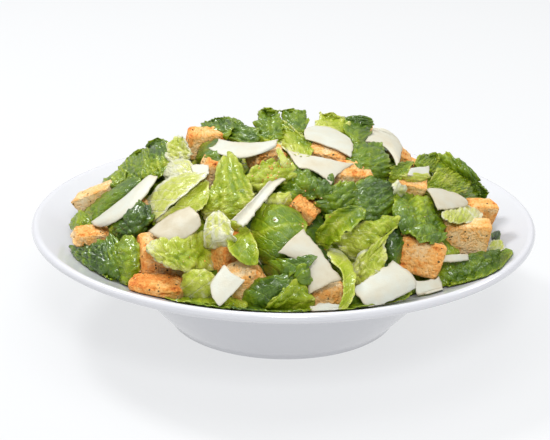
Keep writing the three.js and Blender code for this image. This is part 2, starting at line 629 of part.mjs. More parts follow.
function backLeaves() {
  return BACK_ROWS.flatMap(({ count, radius, from, to, length, width, out }, row) => {
    const pieces = Array.from({ length: count }, (_, i) => i + 7 * row);
    return pieces.map((seed, i) => {
      const size = 0.95 + 0.12 * Math.sin(seed * 2.4);
      const lie = {
        azimuth: THREE.MathUtils.lerp(from, to, i / (count - 1)) + 3 * Math.sin(seed * 4.1),
        radius: radius + 3 * Math.sin(seed * 5.3),
        length: length * size,
        width: width * size,
        turn: 34 * Math.sin(seed * 1.7),
      };
      return {
        plan: true,
        outline: laidOutline(lie),
        out: out + 1.5 * Math.sin(seed * 3.1),
        cup: -5 + 1.5 * Math.sin(seed * 1.3),
        arch: -2,
        wave: 2,
        waves: 3 + (seed % 3),
        turn: seed,
      };
    });
  });
}

// ---- Assembly -----------------------------------------------------------------------------

const finish = (color, roughness) =>
  new THREE.MeshStandardMaterial({ color, roughness, metalness: 0 });
const FINISHES = {
  plate: finish(0xf4f5f6, 0.12),
  romaine: finish(0x7d9f3c, 0.4),
  crouton: finish(0xd9985c, 0.8),
  parmesan: finish(0xf1ead9, 0.5),
};

const salad = new THREE.Group();
salad.name = "caesar_salad";

function place(name, body, material) {
  const mesh = new THREE.Mesh(geometryOf(body), material);
  mesh.name = name;
  salad.add(mesh);
  return mesh;
}

const numbered = (stem, i) => `${stem}_${String(i + 1).padStart(2, "0")}`;

place("plate", lathe([...plateUnderside(), ...plateTop()]), FINISHES.plate);

const without = (body, spaces) => largest(spaces.reduce((rest, space) => rest.subtract(space), body));

const plateSpace = plateClearance();
const croutons = CROUTONS.map((form, i) => ({ ...form, seed: i }));
const croutonSpaces = croutons.map(croutonSpace);
croutons.forEach((form, i) => {
  const body = without(croutonSolid(form), [...croutonSpaces.slice(0, i), plateSpace]);
  place(numbered("crouton", i), body, FINISHES.crouton);
});

const shavings = SHAVINGS.map((form) => (form.plan ? { ...form, outline: laidOutline(form) } : form));
const shavingSpaces = shavings.map(shavingSpace);
shavings.forEach((form, i) => {
  const spaces = [...croutonSpaces, ...shavingSpaces.slice(0, i), plateSpace];
  place(numbered("parmesan", i), without(shavingSolid(form), spaces), FINISHES.parmesan);
});

const leaves = [...LEAVES, ...backLeaves()].map(leafSolid);
const grown = leaves.reduce((heap, leaf) => heap.add(leaf), core());
place("romaine_heap", without(grown, [...croutonSpaces, ...shavingSpaces]), FINISHES.romaine);

export default salad;
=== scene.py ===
"""Dresses the caesar salad: a glazed pasta plate, torn romaine, croutons and parmesan shavings.

Shapes are worked out in millimetres, in the part's own frame, and turned into metres when a mesh is
made. A piece that shows from the front is laid out on a sight grid: a place there is a line of sight,
and the piece lies where that line meets the heap. The pieces behind the crown are laid out in plan.
"""
from __future__ import annotations

import logging
import math
from dataclasses import dataclass, field
from enum import Enum

import bpy
import numpy as np
from mathutils import Matrix, Vector

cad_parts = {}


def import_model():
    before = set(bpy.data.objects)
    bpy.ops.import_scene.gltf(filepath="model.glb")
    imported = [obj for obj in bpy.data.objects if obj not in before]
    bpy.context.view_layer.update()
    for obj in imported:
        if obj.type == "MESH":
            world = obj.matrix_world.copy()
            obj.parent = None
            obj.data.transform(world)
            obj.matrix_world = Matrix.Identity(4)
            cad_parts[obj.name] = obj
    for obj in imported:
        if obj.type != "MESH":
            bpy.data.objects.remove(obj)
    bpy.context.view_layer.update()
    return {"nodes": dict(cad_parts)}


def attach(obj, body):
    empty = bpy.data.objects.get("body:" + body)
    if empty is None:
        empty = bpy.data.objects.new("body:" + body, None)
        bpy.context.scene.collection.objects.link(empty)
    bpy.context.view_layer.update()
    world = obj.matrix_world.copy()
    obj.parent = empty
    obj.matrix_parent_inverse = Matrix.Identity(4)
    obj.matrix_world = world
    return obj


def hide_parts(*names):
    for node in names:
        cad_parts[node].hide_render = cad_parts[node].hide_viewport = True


LOG = logging.getLogger("caesar_salad")
MM = 0.001
GOLDEN_ANGLE = 137.508
Array = np.ndarray
Pair = tuple[float, float]
Ray = tuple[Vector, Vector]
Piece = bpy.types.Object
Material = bpy.types.Material
Socket = bpy.types.NodeSocket

HASH_AXES = (73856093, 19349663, 83492791)
HASH_SEED = 2654435761
HASH_ROUNDS = (1274126177, 2246822519)
HASH_BITS = 0xFFFFFFFF


# ---- Number helpers ----


def smoothstep(low: float, high: float, value: Array) -> Array:
    """Goes from 0 at low to 1 at high along 3t^2 - 2t^3.

    Args:
        low: where the step starts.
        high: where it ends.
        value: numbers to place on the step.

    Returns:
        The share for each number.
    """
    t = np.clip((value - low) / (high - low), 0.0, 1.0)
    return t * t * (3.0 - 2.0 * t)


def unit(vectors: Array) -> Array:
    """Scales each vector on the last axis to length one."""
    return vectors / np.maximum(np.linalg.norm(vectors, axis=-1, keepdims=True), 1e-9)


def lattice_noise(points: Array, cell: float, seed: int = 0) -> Array:
    """Smooth noise in -1..1.

    Each corner of a lattice of cubes holds a random value, hashed from its whole numbers and the seed.
    A point takes the eight values around it, weighted by the quintic 6t^5 - 15t^4 + 10t^3 on each axis.

    Args:
        points: places, with x, y, z on the last axis.
        cell: side of a cube, in the points' unit.
        seed: picks the values. Callers add small numbers to a piece's seed to tell its noises apart.

    Returns:
        One value for each point.
    """
    scaled = points / cell
    low = np.floor(scaled).astype(np.int64)
    part = scaled - low
    weight = part**3 * (part * (part * 6 - 15) + 10)
    total = np.zeros(points.shape[:-1])
    for corner in range(8):
        step = np.array([corner & 1, corner >> 1 & 1, corner >> 2 & 1])
        numbers = (low + step) * HASH_AXES
        mixed = numbers[..., 0] ^ numbers[..., 1] ^ numbers[..., 2] ^ (seed + 11) * HASH_SEED
        mixed = (mixed & HASH_BITS) * HASH_ROUNDS[0] & HASH_BITS
        mixed = (mixed ^ mixed >> 15) * HASH_ROUNDS[1] & HASH_BITS
        value = (mixed >> 12 & 0xFFFF) / 32767.5 - 1.0
        total += value * np.prod(np.where(step == 1, weight, 1 - weight), axis=-1)
    return total


def layered_noise(points: Array, cell: float, seed: int = 0, layers: int = 3) -> Array:
    """Sums lattice noise over layers, each with half the cell and half the height of the last."""
    return sum(lattice_noise(points, cell / 2**k, seed + 17 * k) / 2**k for k in range(layers))


def ridged(points: Array, cell: float, seed: int = 0) -> Array:
    """Noise of round swellings with sharp creases between them: 2 |noise|^0.7 - 0.75."""
    return 2 * np.abs(lattice_noise(points, cell, seed)) ** 0.7 - 0.75


def curve(start: tuple, via: tuple, end: tuple, steps: int) -> Array:
    """Points of a quadratic curve: (1-t)^2 start + 2t(1-t) via + t^2 end, ends included."""
    t = np.linspace(0.0, 1.0, steps + 1)[:, None]
    return (1 - t) ** 2 * np.array(start) + 2 * t * (1 - t) * np.array(via) + t**2 * np.array(end)


# ---- Plate and heap forms ----


@dataclass(frozen=True)
class PlateForm:
    """The plate's section, in millimetres: a flared rim, a deep well and a foot ring."""

    radius: float = 140.0
    height: float = 59.7
    lip_thickness: float = 5.1
    lip_reach: float = 2.8
    lip_turn: Pair = (-58, 82)
    crest_inset: float = 2.4
    lip_inset: float = 1.6
    rim_sag: Pair = (22, 8.6)
    rim_under_sag: Pair = (20, 9)
    shoulder: Pair = (92.0, 34.0)
    shoulder_bulge: float = 16
    foot_radius: float = 65.0
    foot_width: float = 7.0
    foot_height: float = 2.4
    foot_edge: float = 0.3
    well: Pair = (97.0, 43.8)
    well_bulge: Pair = (18, 7)
    floor_radius: float = 66.0
    floor_height: float = 8.0
    wall_foot: Pair = (5, 9)
    wall_foot_bend: Pair = (3, 1)
    floor_inset: float = 6
    wall_steps: int = 18
    segments: int = 160

    def top(self) -> Array:
        """The upper face, from the lip's crest in to the axis, as quadratic curves.

        Returns:
            Radius and height of each point.
        """
        crest = (self.radius - self.crest_inset, self.height)
        sag = (self.radius - self.rim_sag[0], self.height - self.rim_sag[1])
        rim = curve(crest, sag, self.well, self.wall_steps)
        low = (self.floor_radius + self.wall_foot[0], self.floor_height + self.wall_foot[1])
        bulge = (self.well[0] - self.well_bulge[0], self.well[1] - self.well_bulge[1])
        wall = curve(self.well, bulge, low, self.wall_steps)
        floor_edge = (self.floor_radius - self.floor_inset, self.floor_height)
        bend = (self.floor_radius + self.wall_foot_bend[0], self.floor_height + self.wall_foot_bend[1])
        floor = curve(low, bend, floor_edge, 10)
        inner = np.linspace(floor_edge, (0.0, self.floor_height), 7)
        return np.concatenate([rim, wall[1:], floor[1:], inner[1:]])

    def underside(self) -> Array:
        """The lower face, from the axis out to the lip: recess, foot ring, body and rim.

        Returns:
            Radius and height of each point.
        """
        foot = self.foot_radius
        inside = foot - self.foot_width
        inner = [(0.0, self.foot_height), (foot / 3, self.foot_height), (foot * 2 / 3, self.foot_height)]
        ring = [
            (inside - 1.0, self.foot_height),
            (inside - 0.2, self.foot_edge),
            (inside + 0.4, 0.0),
            (foot - 1.4, 0.0),
            (foot - 0.8, self.foot_edge),
        ]
        bulge = (foot + self.shoulder_bulge, self.foot_height + self.shoulder_bulge)
        wall = curve((foot, self.foot_height), bulge, self.shoulder, 20)
        under_lip = self.height - self.lip_thickness
        sag = (self.radius - self.rim_under_sag[0], under_lip - self.rim_under_sag[1])
        rim = curve(self.shoulder, sag, (self.radius - self.lip_inset, under_lip), self.wall_steps)
        return np.concatenate([inner, ring, wall, rim[1:]])

    def lip(self) -> Array:
        """The rounded lip between the two faces, part of an ellipse.

        Returns:
            Radius and height of each point.
        """
        turn = np.radians(np.linspace(*self.lip_turn, 9))
        half = self.lip_thickness / 2
        out = self.radius - self.lip_reach + self.lip_reach * np.cos(turn)
        return np.stack([out, self.height - half + half * np.sin(turn)], axis=1)

    def top_at(self, radius: Array) -> Array:
        """Height of the upper face at each radius."""
        section = self.top()[::-1]
        return np.interp(radius, section[:, 0], section[:, 1])


@dataclass(frozen=True)
class HeapForm:
    """The heap's shown surface: a crowned dome that runs out onto the rim, in millimetres."""

    plate: PlateForm = PlateForm()
    radius: float = 124.0
    edge_height: float = 54.0
    rise: float = 58.0
    power: float = 2.2

    def shown_at(self, radius: Array) -> Array:
        """Height of the dome, edge + rise (1 - share^power), and of the plate outside it."""
        share = np.minimum(radius / self.radius, 1.0)
        dome = self.edge_height + self.rise * (1 - share**self.power)
        return np.where(radius < self.radius, dome, self.plate.top_at(radius))

    def normal_at(self, x: Array, y: Array) -> Array:
        """The dome's outward normal, (-slope x / radius, -slope y / radius, 1) made one long.

        Args:
            x: millimetres to the right.
            y: millimetres away from the front.

        Returns:
            The normals, with x, y, z on the last axis.
        """
        radius = np.maximum(np.hypot(x, y), 1e-3)
        slope = self.shown_at(radius + 0.5) - self.shown_at(radius - 0.5)
        return unit(np.stack([-slope * x / radius, -slope * y / radius, np.ones_like(radius)], axis=-1))

    def clear_of_plate(self, places: Array, room: float) -> Array:
        """Lifts places that lie too near the plate.

        Args:
            places: places with x, y, z on the last axis.
            room: the least height above the plate's upper face.

        Returns:
            The lifted places.
        """
        lowest = self.plate.top_at(np.hypot(places[..., 0], places[..., 1])) + room
        lifted = places.copy()
        lifted[..., 2] = np.maximum(places[..., 2], lowest)
        return lifted


@dataclass(frozen=True)
class Sight:
    """The sight grid and its eye: steps right and down over a view of 550 by 440 steps."""

    distance: float = 900.0
    pivot_height: float = 30.0
    elevation: float = math.radians(22)
    roll: float = math.radians(0.68)
    aim: tuple[float, float, float] = (-4.7, 0.0, 56.0)
    size: tuple[int, int] = (550, 440)
    steps_per_radian: float = 1585.0

    @property
    def eye(self) -> Array:
        """The eye's place in millimetres."""
        height = self.pivot_height + self.distance * math.sin(self.elevation)
        return np.array([0.0, -self.distance * math.cos(self.elevation), height])

    def axes(self) -> tuple[Array, Array, Array]:
        """Turns the level directions by the roll.

        Returns:
            The grid's right, up and ahead directions.
        """
        ahead = unit(np.array(self.aim) - self.eye)
        right = unit(np.cross(ahead, (0.0, 0.0, 1.0)))
        up = np.cross(right, ahead)
        cos, sin = math.cos(self.roll), math.sin(self.roll)
        return cos * right + sin * up, cos * up - sin * right, ahead

    def ways(self, u: Array, v: Array) -> Array:
        """Directions of sight: ahead + right (u - middle) / steps + up (middle - v) / steps.

        Args:
            u: steps to the right on the sight grid.
            v: steps down.

        Returns:
            One direction for each place.
        """
        right, up, ahead = self.axes()
        across = ((u - self.size[0] / 2) / self.steps_per_radian)[..., None]
        above = ((self.size[1] / 2 - v) / self.steps_per_radian)[..., None]
        return unit(ahead + across * right + above * up)


@dataclass(frozen=True)
class Layout:
    """Places pieces on the heap, from the sight grid or from the plan."""

    heap: HeapForm = HeapForm()
    sight: Sight = Sight()
    crown_depth: float = 22.0
    crown_ease: float = 6.0
    mouth_radius: float = 125.0
    rim_radius: float = 136.0
    rim_from: Pair = (80, 112)
    nearest_sight: float = 760.0
    stride: float = 4.0
    strides: int = 70
    halvings: int = 20
    room: float = 1.0

    def by_sight(self, u: Array, v: Array, towards: Array) -> Array:
        """Finds where lines of sight meet the heap, and moves each place towards the eye.

        A line enters over the plate's rim, is followed in strides until it is below the shown surface,
        and the crossing is halved down. A depth y behind the crown's depth c is eased forward to it by
        e ln(1 + exp((y - c) / e)).

        Args:
            u: steps to the right on the sight grid.
            v: steps down.
            towards: millimetres towards the eye.

        Returns:
            The places, with x, y, z on the last axis.
        """
        eye, way = self.sight.eye, self.sight.ways(u, v)
        aside = np.abs(eye[0] + way[..., 0] * self.nearest_sight)
        widening = smoothstep(*self.rim_from, aside)
        reach = self.mouth_radius + (self.rim_radius - self.mouth_radius) * widening
        mouth = -np.sqrt(np.maximum(reach**2 - aside**2, 0.0))

        def above(s: Array) -> Array:
            """Whether a line is still above the shown surface at a distance."""
            p = eye + way * s[..., None]
            return p[..., 2] > self.heap.shown_at(np.hypot(p[..., 0], p[..., 1]))

        near = (mouth - eye[1]) / way[..., 1]
        for _ in range(self.strides):
            going = above(near) & (eye[1] + way[..., 1] * near < self.heap.radius)
            if not going.any():
                break
            near = np.where(going, near + self.stride, near)
        behind, near = near, near - self.stride
        for _ in range(self.halvings):
            middle = (near + behind) / 2
            higher = above(middle)
            near, behind = np.where(higher, middle, near), np.where(higher, behind, middle)
        depth = np.maximum(eye[1] + way[..., 1] * near, mouth)
        past = self.crown_ease * np.logaddexp(0.0, (depth - self.crown_depth) / self.crown_ease)
        s = (depth - past - eye[1]) / way[..., 1] - towards
        return self.heap.clear_of_plate(eye + way * s[..., None], self.room)

    def by_plan(self, x: Array, y: Array, lift: Array) -> Array:
        """Finds places on the dome above plan positions.

        Args:
            x: millimetres to the right.
            y: millimetres away from the front.
            lift: millimetres out along the dome's normal.

        Returns:
            The places, with x, y, z on the last axis.
        """
        foot = np.stack([x, y, self.heap.shown_at(np.hypot(x, y))], axis=-1)
        places = foot + self.heap.normal_at(x, y) * np.asarray(lift)[..., None]
        return self.heap.clear_of_plate(places, self.room)


# ---- Mesh building ----


@dataclass
class MeshBatch:
    """Vertices, faces and their paint for many solids that become one piece."""

    places: list[Array] = field(default_factory=list)
    faces: list[Array] = field(default_factory=list)
    paint: list[Array] = field(default_factory=list)
    blade: list[Array] = field(default_factory=list)
    count: int = 0

    def add(self, places: Array, faces: Array, paint: Array, blade: Array | None = None) -> None:
        """Adds one solid.

        Args:
            places: vertices in millimetres, (n, 3).
            faces: four vertex numbers for each face; a face with its last two alike is a triangle.
            paint: three numbers for each vertex that the finish reads, (n, 3).
            blade: place of each vertex on its own flat piece, in centimetres, (n, 2).
        """
        self.places.append(places)
        self.faces.append(faces + self.count)
        self.paint.append(paint)
        self.blade.append(np.zeros((len(places), 2)) if blade is None else blade)
        self.count += len(places)

    def build(self, name: str, material: Material) -> Piece:
        """Makes the piece's mesh object in metres, shaded smooth.

        Args:
            name: the piece's name.
            material: its finish.

        Returns:
            The linked object.
        """
        places = np.concatenate(self.places) * MM
        faces = np.concatenate(self.faces)
        is_quad = faces[:, 2] != faces[:, 3]
        corners = np.where(is_quad, 4, 3)
        loops = faces[np.arange(4) < corners[:, None]]
        mesh = bpy.data.meshes.new(name)
        mesh.vertices.add(len(places))
        mesh.vertices.foreach_set("co", places.astype(np.float32).ravel())
        mesh.loops.add(len(loops))
        mesh.loops.foreach_set("vertex_index", loops.astype(np.int32))
        mesh.polygons.add(len(faces))
        starts = np.concatenate([[0], np.cumsum(corners)[:-1]])
        mesh.polygons.foreach_set("loop_start", starts.astype(np.int32))
        mesh.update(calc_edges=True)
        mesh.shade_smooth()
        paint = mesh.attributes.new("paint", "FLOAT_COLOR", "POINT")
        colours = np.concatenate([np.concatenate(self.paint), np.ones((len(places), 1))], axis=1)
        paint.data.foreach_set("color", colours.astype(np.float32).ravel())
        layer = mesh.uv_layers.new(name="blade")
        layer.data.foreach_set("uv", np.concatenate(self.blade)[loops].astype(np.float32).ravel())
        mesh.materials.append(material)
        mesh.validate()
        piece = bpy.data.objects.new(name, mesh)
        bpy.context.scene.collection.objects.link(piece)
        return piece


def grid_normals(places: Array) -> Array:
    """The normals of a grid of places: the cross product of its ways across and along."""
    return unit(np.cross(np.gradient(places, axis=1), np.gradient(places, axis=0)))


def grid_faces(number: Array) -> Array:
    """The four-cornered faces between neighbours in a grid of vertex numbers."""
    corners = [number[:-1, :-1], number[:-1, 1:], number[1:, 1:], number[1:, :-1]]
    return np.stack(corners, axis=-1).reshape(-1, 4)


def thin_solid(middle: Array, thickness: Array) -> tuple[Array, Array]:
    """Closes a grid of places into a thin solid.

    Each face lies half the thickness off the grid along its normal, and a strip of faces joins the two
    round the rim.

    Args:
        middle: (rows, columns, 3) places.
        thickness: (rows, columns) millimetres.

    Returns:
        The vertices, front face first, and the faces.
    """
    rows, columns = middle.shape[:2]
    offset = grid_normals(middle) * thickness[..., None] / 2
    vertices = np.concatenate([(middle + offset).reshape(-1, 3), (middle - offset).reshape(-1, 3)])
    number = np.arange(rows * columns).reshape(rows, columns)
    front = grid_faces(number)
    back = front[:, ::-1] + rows * columns
    edge = np.concatenate([number[0, :-1], number[:-1, -1], number[-1, :0:-1], number[:0:-1, 0]])
    following = np.roll(edge, -1)
    rim = np.stack([edge, edge + rows * columns, following + rows * columns, following], axis=-1)
    return vertices, np.concatenate([front, back, rim])


def lathe(profile: Array, segments: int) -> tuple[Array, Array]:
    """Turns a section about Z: places are (r cos t, r sin t, z), and each end closes on a pole.

    Args:
        profile: radius and height from one pole to the other, outside on its right.
        segments: steps round.

    Returns:
        The vertices and faces.
    """
    turn = np.linspace(0, 2 * np.pi, segments, endpoint=False)
    radius, height = profile[1:-1, :1], profile[1:-1, 1:] + np.zeros(segments)
    body = np.stack([radius * np.cos(turn), radius * np.sin(turn), height], axis=-1).reshape(-1, 3)
    poles = np.array([[0.0, 0.0, profile[0, 1]], [0.0, 0.0, profile[-1, 1]]])
    number = np.arange(height.size).reshape(height.shape)
    beside = np.roll(number, -1, axis=1)
    walls = np.stack([number[:-1], beside[:-1], beside[1:], number[1:]], axis=-1).reshape(-1, 4)
    low, high = len(body), len(body) + 1
    start = np.stack([beside[0], number[0], np.full(segments, low), np.full(segments, low)], axis=-1)
    end = np.stack([number[-1], beside[-1], np.full(segments, high), np.full(segments, high)], axis=-1)
    return np.concatenate([body, poles]), np.concatenate([walls, start, end])


def cube_skin(steps: int) -> tuple[Array, Array]:
    """The surface of the cube -1..1 as a merged grid.

    Args:
        steps: faces along each side.

    Returns:
        The places and the faces, which point outwards.
    """
    ticks = np.linspace(-1, 1, steps + 1)
    p, q = np.meshgrid(ticks, ticks)
    sides, faces = [], []
    number = np.arange((steps + 1) ** 2).reshape(steps + 1, steps + 1)
    quad = grid_faces(number)
    for axis in range(3):
        for sign in (-1, 1):
            side = np.empty((steps + 1, steps + 1, 3))
            side[..., axis] = sign
            side[..., (axis + 1) % 3] = p
            side[..., (axis + 2) % 3] = q
            faces.append((quad if sign > 0 else quad[:, ::-1]) + len(sides) * number.size)
            sides.append(side.reshape(-1, 3))
    places, inverse = np.unique(np.round(np.concatenate(sides), 6), axis=0, return_inverse=True)
    return places, inverse.reshape(-1)[np.concatenate(faces)]


# ---- Thin torn pieces ----


@dataclass(frozen=True)
class Sheet:
    """A thin piece laid on the heap by eight outline points.

    The outline runs base left, base middle, base right, right, tip right, tip middle, tip left, left.
    On the sight grid its numbers are steps right and down; in plan they are x and y in millimetres.
    The other sizes are millimetres off the shown surface: out for the whole piece, rise from base to
    tip, roll from left to right, cup at both sides, arch at both ends. The tone of a shaving is how
    dry and yellow it is.
    """

    name: str
    outline: tuple[float, ...]
    out: float = 0.0
    rise: float = 0.0
    roll: float = 0.0
    cup: float = 0.0
    arch: float = 0.0
    plan: bool = False
    tone: float = 0.15


@dataclass(frozen=True)
class Leaf(Sheet):
    """A torn piece of romaine.

    The tone runs from 0, the darkest green, to 1, the white heart; frill is the height of the ruffled
    margin in millimetres, crinkle the strength of the blisters between the veins, rib the strength of
    the middle rib and streak that of lengthwise pale ribs, which on the dark curls at the left are
    also painted highlight streaks.
    """

    tone: float = 0.4
    frill: float = 1.5
    crinkle: float = 1.0
    rib: float = 0.1
    streak: float = 0.0


@dataclass
class Grid:
    """A laid sheet: its places, its square's a and b (-1..1 across and along) and its size."""

    middle: Array
    a: Array
    b: Array
    width: float
    length: float

    @property
    def across(self) -> Array:
        """Millimetres across, from the middle line."""
        return self.a * self.width / 2

    @property
    def along(self) -> Array:
        """Millimetres along, from the base."""
        return (self.b + 1) * self.length / 2

    @property
    def outness(self) -> Array:
        """How far out each place lies, from 0 in the middle to about 1 at the rim."""
        return np.maximum(np.abs(self.a), np.abs(self.b))

    def flat(self, layer: float) -> Array:
        """The places on the flat piece, with one layer for each piece so that noises differ."""
        return np.stack([self.across, self.along, np.full_like(self.a, layer)], axis=-1)


def patch_weights(a: Array, b: Array) -> Array:
    """Weights of a sheet's eight outline points, as in an eight-node patch.

    A corner's weight is (1 -+ a)(1 -+ b)(-+ a -+ b - 1) / 4, and a side's is (1 - a^2)(1 -+ b) / 2 or
    (1 -+ a)(1 - b^2) / 2: each is 1 at its own point and 0 at the others.

    Args:
        a: places across the square, -1..1.
        b: places along it.

    Returns:
        The eight weights on the last axis, in the outline's order.
    """
    return np.stack(
        [
            (1 - a) * (1 - b) * (-a - b - 1) / 4,
            (1 - a**2) * (1 - b) / 2,
            (1 + a) * (1 - b) * (a - b - 1) / 4,
            (1 + a) * (1 - b**2) / 2,
            (1 + a) * (1 + b) * (a + b - 1) / 4,
            (1 - a**2) * (1 + b) / 2,
            (1 - a) * (1 + b) * (-a + b - 1) / 4,
            (1 - a) * (1 - b**2) / 2,
        ],
        axis=-1,
    )


def laid_outline(
    azimuth: float, radius: float, length: float, width: float, turn: float
) -> tuple[float, ...]:
    """An outline in plan for a leaf-shaped piece.

    Args:
        azimuth: direction of its middle from the centre, in degrees.
        radius: distance of its middle.
        length: size from base to tip.
        width: size across.
        turn: angle from the outward direction to its length, in degrees.

    Returns:
        Eight outline points, x and y in turn.
    """
    base, tip = [[-0.7, -0.9], [0, -1], [0.7, -0.9]], [[0.6, 0.9], [0, 1], [-0.6, 0.9]]
    shape = np.array([*base, [1, 0], *tip, [-1, 0]])
    heading = math.radians(azimuth + turn)
    along = np.array([math.cos(heading), math.sin(heading)])
    across = np.array([math.sin(heading), -math.cos(heading)])
    middle = radius * np.array([math.cos(math.radians(azimuth)), math.sin(math.radians(azimuth))])
    points = middle + shape[:, :1] * across * width / 2 + shape[:, 1:] * along * length / 2
    return tuple(points.ravel().tolist())


@dataclass(frozen=True)
class SheetLayer:
    """Lays sheets out as grids, in millimetres.

    Pitch is the size of a face, ragged how far the rim is moved and tear the size of the tears; corner
    is the share by which corners are drawn in. The base's edge of a tucked sheet goes into the heap,
    down to dip below the shown surface.
    """

    layout: Layout = Layout()
    pitch: float = 0.8
    ragged: float = 1.1
    tear: float = 6.5
    corner: float = 0.1
    tucked: bool = True
    dip: float = 7.0
    fewest: int = 8
    most: tuple[int, int] = (90, 110)

    def lay(self, sheet: Sheet, seed: int) -> Grid:
        """Lays one sheet.

        The square's corners are drawn in and its rim is moved by noise, so the piece looks torn. Each
        place is the weighted sum of the outline, and its height off the heap is
        out + rise b/2 + roll a/2 + cup a^2 + arch b^2 - (dip + out, if out > 0) ((1-b)/2)^3.

        Args:
            sheet: the piece.
            seed: picks its rim's noise.

        Returns:
            The grid, with its columns in the order that turns its normals outwards.
        """
        outline = np.array(sheet.outline).reshape(8, 2)
        ends = self._place(sheet, outline[:, 0], outline[:, 1], np.full(8, sheet.out))
        width = float(np.linalg.norm(ends[3] - ends[7]))
        length = float(np.linalg.norm(ends[5] - ends[1]))
        LOG.debug("%s: %.0f by %.0f mm", sheet.name, width, length)
        columns, rows = (
            int(np.clip(round(size / self.pitch), self.fewest, most)) + 1
            for size, most in zip((width, length), self.most)
        )
        a, b = np.meshgrid(np.linspace(-1, 1, columns), np.linspace(-1, 1, rows))
        rim = np.maximum(np.abs(a), np.abs(b)) ** 3
        at = np.stack([a * width / 2, b * length / 2, np.full_like(a, seed * 31.7)], axis=-1)
        tear = layered_noise(at, self.tear, seed) * self.ragged * rim
        drawn = 1 - self.corner * np.abs(a * b) ** 3
        p = a * (drawn + tear / (width / 2))
        q = b * (drawn + tear / (length / 2))
        grid = patch_weights(p, q) @ outline
        tuck = self.dip + max(sheet.out, 0) if self.tucked else 0.0
        standing = (
            sheet.out
            + sheet.rise * q / 2
            + sheet.roll * p / 2
            + sheet.cup * p**2
            + sheet.arch * q**2
            - tuck * ((1 - q) / 2) ** 3
        )
        middle = self._place(sheet, grid[..., 0], grid[..., 1], standing)
        laid = Grid(middle, p, q, width, length)
        facing = float(np.mean(np.sum(grid_normals(middle) * self._outward(sheet, middle), axis=-1)))
        return laid if facing > 0 else Grid(middle[:, ::-1], p[:, ::-1], q[:, ::-1], width, length)

    def _place(self, sheet: Sheet, x: Array, y: Array, off: Array) -> Array:
        """Places of the sheet's grid, by sight or by plan."""
        return self.layout.by_plan(x, y, off) if sheet.plan else self.layout.by_sight(x, y, off)

    def _outward(self, sheet: Sheet, middle: Array) -> Array:
        """The direction that the sheet's shown face looks in."""
        if sheet.plan:
            return self.layout.heap.normal_at(middle[..., 0], middle[..., 1])
        return unit(self.layout.sight.eye - middle)


@dataclass(frozen=True)
class Skyline:
    """The line that the shown pieces make against what is behind them, on the sight grid."""

    sight: Sight = Sight()
    margin: float = 3.0
    crouton_share: float = 0.45

    def line(self) -> Array:
        """Goes along every shown outline, and along the top of every shown crouton.

        Returns:
            The highest row that is reached in each column of the sight grid.
        """
        columns = np.arange(self.sight.size[0])
        top = np.full(self.sight.size[0], np.inf)
        for sheet in FRONT_LEAVES + FRONT_SHAVINGS:
            outline = np.array(sheet.outline).reshape(8, 2)
            for start, end in zip(outline, np.roll(outline, -1, axis=0)):
                low, high = sorted((start, end), key=lambda point: point[0])
                inside = (columns >= low[0]) & (columns <= high[0])
                share = (columns[inside] - low[0]) / max(high[0] - low[0], 1e-6)
                top[inside] = np.minimum(top[inside], low[1] + share * (high[1] - low[1]))
        per_mm = self.sight.steps_per_radian / self.sight.distance
        for crouton in (row for row in CROUTONS if not row.plan):
            inside = np.abs(columns - crouton.at[0]) < crouton.size[0] * per_mm / 2
            crest = crouton.at[1] - crouton.size[2] * per_mm * self.crouton_share
            top[inside] = np.minimum(top[inside], crest)
        return top

    def drop(self, places: Array, top: Array) -> float:
        """How far a piece must come down to stay under the line, with its margin in steps.

        Args:
            places: its places.
            top: the line.

        Returns:
            Millimetres, from the steps that it stands too high: a step is the distance over the steps
            per radian, and a fall is seen at the cosine of the elevation.
        """
        right, up, ahead = self.sight.axes()
        offset = places.reshape(-1, 3) - self.sight.eye
        depth = offset @ ahead
        u = self.sight.size[0] / 2 + self.sight.steps_per_radian * (offset @ right) / depth
        v = self.sight.size[1] / 2 - self.sight.steps_per_radian * (offset @ up) / depth
        column = np.clip(np.round(u).astype(int), 0, self.sight.size[0] - 1)
        over = np.where(np.isfinite(top[column]), top[column] + self.margin - v, 0.0)
        step = self.sight.distance / self.sight.steps_per_radian / math.cos(self.sight.elevation)
        return max(float(over.max()), 0.0) * step


# ---- Materials ----


